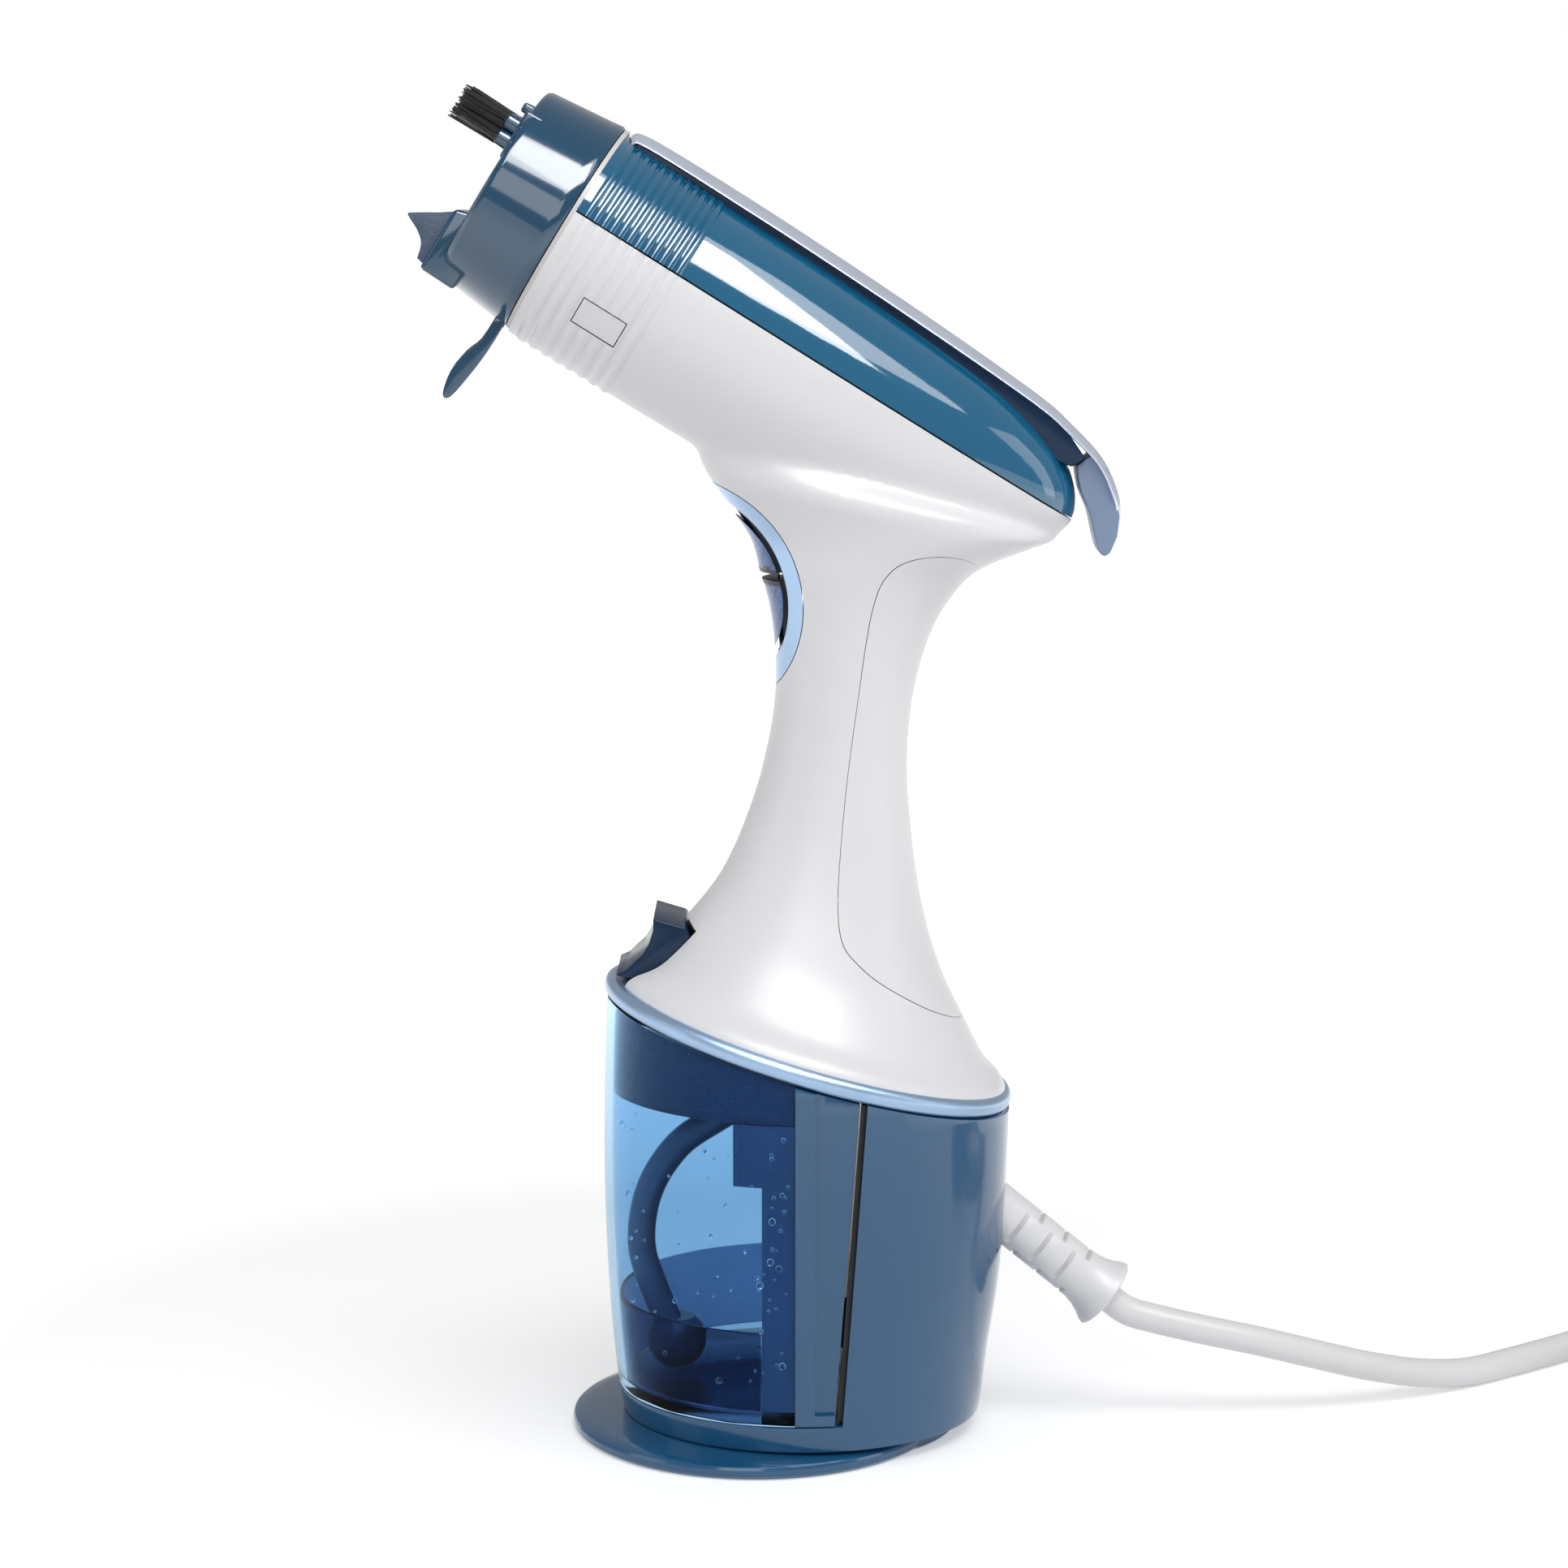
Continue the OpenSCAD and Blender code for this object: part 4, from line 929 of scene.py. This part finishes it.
TRIM_THICK, TRIM_SWELL, TRIM_SAG, TRIM_SIDES = 1.9, 0.9, 1.4, 40
trim_rings = []
for i, (u, w) in enumerate(trim_upper):
    a, b = trim_upper[max(i - 1, 0)], trim_upper[min(i + 1, len(trim_upper) - 1)]
    run = Vector((b[0] - a[0], 0, b[1] - a[1])).normalized()
    down = Vector((run.z, 0, -run.x))
    half = width_at(u)
    left = len(trim_upper) - 1 - i
    thick = TRIM_THICK + TRIM_SWELL * max(12 - left, 0) / 12
    if left < 5:
        half *= math.sqrt(max(1 - ((5 - left) / 5.6) ** 2, 0.04))
    section = []
    for k in range(TRIM_SIDES):
        angle = TURN * k / TRIM_SIDES
        y = half * math.cos(angle)
        sag = TRIM_SAG * (y / max(half, 0.1)) ** 2 * (half / 10) ** 2
        lift = thick / 2 * math.sin(angle)
        section.append(HEAD @ (Vector((u, y, w)) + down * (thick / 2 + sag - lift)))
    trim_rings.append(section)
trim_shell = loft("trim_shell", trim_rings)
web_outline = spline([(126.5, 16.4), (130.2, 12.2), (134.8, 8.9), (138.8, 4.9), (141.4, 2.6),
                      (143.2, 2.2), (144.0, 3.6)], 3)
web_outline += [(143.4, 7.5), (141.4, 11.6), (138, 15.6), (133, 19.4), (128.4, 21)]
web = bevel(prism("hook_web", web_outline, 6.2, HEAD), 1.3, 4, 30)
shell_faces = len(trim_shell.data.polygons)
trim = smooth(merge("top_trim", [trim_shell, web]), 40)
finish_piece(trim, TRIM_PAINT_LIT, "root", "top_trim", slot="ring_metallic")
# The hook web's faces take the darker hook colour, which is painted shade on the trim's paint.
trim.data.materials.append(HOOK_SHADE_PAINT)
for poly in trim.data.polygons:
    poly.material_index = 1 if poly.index >= shell_faces else 0
trim.data.update()

# A dark block under the top trim, filling the gap between the trim and the head cover: its dark colour
# is painted shade for the shadow in that gap.
carrier_outline = [(3, 22.6), (3, TRIM_TOP - 2.6), (31, TRIM_TOP - 1.6), (58, TRIM_TOP - 2.0),
                   (84, TRIM_TOP - 2.8), (111, TRIM_TOP - 4.4), (121, TRIM_TOP - 6.4),
                   (127, TRIM_TOP - 9.0), (125.6, 15.6), (122, 15.0), (104, 19.5), (86, 21), (58, 22)]
trim_gap_shade = bevel(prism("trim_gap_shade_block", carrier_outline, 8.6, HEAD), 0.4, 2, 30)
finish_piece(smooth(trim_gap_shade), DARK_CLEAR, "root", slot="dark_blue_clear")

# ---------------------------------------------------------------- brush attachment
C0 = -COLLAR_LENGTH - 1.2
RIM = C0 - 3.5
collar_profile = [(C0 + 1.5, NOZZLE_R + 0.4), (RIM + 0.6, NOZZLE_R + 0.4), (RIM + 0.1, NOZZLE_R + 0.7),
                  (RIM, 23.3), (RIM + 0.2, 23.9), (RIM + 0.9, 24.4), (RIM + 1.5, 24.5),
                  (-4.8, 26.1), (-4, 26.2), (-1.9, 26.5),
                  (-1.3, 26.2), (-1.2, 25.6), (-1.2, NOZZLE_R + 0.4)]
collar_sections = []
for i in range(160):
    a = TURN * i / 160
    collar_sections.append([HEAD @ Vector((u, r * math.sin(a), r * math.cos(a)))
                            for u, r in collar_profile])
collar = loop_loft("brush_collar", collar_sections)
weld = collar.modifiers.new("weld", "WELD")
weld.merge_threshold = 1e-6
settle(collar)
tab_outline = spline([(-1.4, -25), (-1.5, -33), (-2.2, -40), (-3.4, -46.3), (-5.2, -46.6),
                      (-6.4, -41), (-5.6, -35), (-4.2, -31), (-4.0, -25)], 3)
tab = bevel(prism("tab", tab_outline, 7.5, HEAD), 0.6, 3)
boss_outline = [(C0 - 7, -24.6), (C0 - 7, -9), (C0 - 4, -8.2), (C0 + 2, -8.2), (C0 + 2, -24.8)]
boss = bevel(prism("boss", boss_outline, 13.5, HEAD), 0.9, 3)
PLATE_ROOM = [(C0 - 3.7, 0), (C0 - 3.7, NOZZLE_R + 0.4), (C0 + 3, NOZZLE_R + 0.4), (C0 + 3, 0)]
cut(boss, lathe("plate_room", PLATE_ROOM, HEAD))
brush_collar = merge("brush_collar_set", [collar, tab, boss])
smooth(brush_collar, 35)
finish_piece(brush_collar, DEEP_TEAL, "brush", "brush_collar", slot="collar_teal")

blade_outline = spline([(C0 - 6.8, -9.6), (C0 - 10.5, -12.2), (C0 - 15, -15.0), (C0 - 15.2, -15.9),
                        (C0 - 12, -17.5), (C0 - 9.6, -19.6), (C0 - 8.6, -23)], 3)
blade_outline += [(C0 - 6.8, -23.4)]
blade = bevel(prism("fabric_blade_pad", blade_outline, 12.5, HEAD), 0.25, 2)
finish_piece(smooth(blade, 35), PAD, "brush", "fabric_blade", slot="blade_grey")

TUFTS = [((k - 3) * 4.6, 10 + row * 4) for k in range(7) for row in (0, 1)]
TUFT_R, HAIRS, HAIR_R, HAIR_LEAN = 1.9, 26, 0.16, 0.5
BOSS_PROFILE = [(C0 - 7.4, 0), (C0 - 7.4, 1.5), (C0 - 7, 1.9), (C0 - 3, 2.1), (C0 - 3, 0)]
holder_parts = [lathe("tuft_boss", BOSS_PROFILE, HEAD @ Matrix.Translation((0, y, w)), 24)
                for y, w in TUFTS]
bar = bevel(block("bar", (C0 - 4.4, -17, 6), (C0 + 1, 17, 18.4), HEAD), 0.8, 3)
spine = bevel(block("spine", (C0 - 6, -12, 17.2), (C0 + 1, 12, 19.6), HEAD), 0.7, 3)
for part in (bar, spine):
    cut(part, lathe("plate_room", PLATE_ROOM, HEAD))
holder = smooth(merge("tuft_holder_set", holder_parts + [bar, spine]), 35)
finish_piece(holder, DEEP_TEAL, "brush", "tuft_holder", slot="collar_teal")

hairs = []
for tuft_y, tuft_w in TUFTS:
    for _ in range(HAIRS):
        a, r = random.uniform(0, TURN), TUFT_R * math.sqrt(random.random())
        y, w = tuft_y + r * math.cos(a), tuft_w + r * math.sin(a)
        lean_y, lean_w = random.uniform(-HAIR_LEAN, HAIR_LEAN), random.uniform(-HAIR_LEAN, HAIR_LEAN)
        root, tip = C0 - 7, C0 - 18.8 + random.uniform(-0.3, 0.5)
        rings = [[HEAD @ Vector((u, y + t * lean_y + HAIR_R * math.cos(TURN * i / 5),
                                 w + t * lean_w + HAIR_R * math.sin(TURN * i / 5)))
                  for i in range(5)] for t, u in ((0, root), (1, tip))]
        hairs.append(loft("hair", rings))
bristles = merge("bristle_tufts", hairs)
finish_piece(bristles, HAIR, "brush", "bristles", slot="bristle_black")

# ---------------------------------------------------------------- pieces that keep their CAD shape
for node, mat in dict(
        base_screws=STEEL, filler_plug=SOFT_GREY, pickup_weight=HOSE, tank_valve=IVORY,
        inlet_port=RUBBER, inlet_hose=SOFT_GREY, pump_body=CAST, pump_mounts=RUBBER,
        switch_bracket=IVORY, microswitches=RUBBER, control_board=BOARD, water_hose=SOFT_GREY,
        heater_block=CAST, thermostat=STEEL, thermal_fuse=IVORY, nozzle_core=WHITE,
        steam_plate=WHITE, steam_gasket=SOFT_GREY, front_ring=SEAL, hook_screw=STEEL,
        cord_clamp=IVORY).items():
    repaint(node, mat)


# ---------------------------------------------------------------- studio
def lamp(name, place, target, size, power):
    """A white rectangular lamp turned to a target, in metres and watts."""
    data = bpy.data.lights.new(name, "AREA")
    data.shape = "RECTANGLE"
    data.size, data.size_y = size
    data.energy = power
    obj = bpy.data.objects.new(name, data)
    obj.location = place
    obj.rotation_euler = (Vector(target) - Vector(place)).to_track_quat("-Z", "Y").to_euler()
    bpy.context.scene.collection.objects.link(obj)
    return obj


lamp("top_strip", (0.35, -0.55, 1.05), (0.02, 0, 0.22), (0.9, 0.45), 5.0)
lamp("left_soft", (-1.1, -0.35, 0.45), (0, 0, 0.15), (0.5, 1.0), 1.6)
lamp("right_soft", (1.1, -0.30, 0.40), (0, 0, 0.15), (0.35, 1.0), 1.8)
lamp("front_fill", (-0.25, -1.4, 0.75), (0, 0, 0.15), (0.7, 0.5), 2.6)
sheen = lamp("gloss_strip", (0.15, -0.62, 1.05), (0.02, 0, 0.22), (1.0, 0.5), 16.0)
sheen.visible_diffuse = False

floor_mesh = make("floor", [(-6000, -6000, 0), (6000, -6000, 0), (6000, 6000, 0), (-6000, 6000, 0)],
                  [(0, 1, 2, 3)])
floor_mat = bpy.data.materials.new("floor_white")
floor_mat.use_nodes = True
tree = floor_mat.node_tree
matt = tree.nodes["Principled BSDF"]
matt.inputs["Base Color"].default_value = (0.86, 0.86, 0.87, 1)
matt.inputs["Roughness"].default_value = 0.6
glow = tree.nodes.new("ShaderNodeEmission")
rays = tree.nodes.new("ShaderNodeLightPath")
seen = maths(tree, "MAXIMUM", rays.outputs["Is Camera Ray"], rays.outputs["Is Transmission Ray"])
mirrored = maths(tree, "MAXIMUM", seen, rays.outputs["Is Glossy Ray"])
spot = tree.nodes.new("ShaderNodeTexCoord")
far_off = tree.nodes.new("ShaderNodeVectorMath")
far_off.operation = "LENGTH"
tree.links.new(spot.outputs["Object"], far_off.inputs[0])
SHADE_NEAR, SHADE_FAR, NEAR_GLOW, FAR_GLOW = 0.20, 0.55, 0.40, 1.0
fade = rescale(tree, far_off.outputs["Value"], NEAR_GLOW, FAR_GLOW, SHADE_NEAR, SHADE_FAR)
tree.links.new(maths(tree, "MULTIPLY", mirrored, fade), glow.inputs["Strength"])
both = tree.nodes.new("ShaderNodeAddShader")
tree.links.new(matt.outputs[0], both.inputs[0])
tree.links.new(glow.outputs[0], both.inputs[1])
tree.links.new(both.outputs[0], tree.nodes["Material Output"].inputs["Surface"])
floor_mesh.data.materials.append(floor_mat)

world = bpy.data.worlds.new("studio")
world.use_nodes = True
bpy.context.scene.world = world
wt = world.node_tree
sky = wt.nodes["Background"]
sky.inputs["Color"].default_value = (1, 1, 1, 1)
path = wt.nodes.new("ShaderNodeLightPath")
shown = maths(wt, "MAXIMUM", path.outputs["Is Camera Ray"], path.outputs["Is Transmission Ray"])
SKY_LIGHT, SKY_SEEN = 0.42, 1.0
wt.links.new(rescale(wt, shown, SKY_LIGHT, SKY_SEEN), sky.inputs["Strength"])
bpy.context.scene.view_settings.view_transform = "Standard"
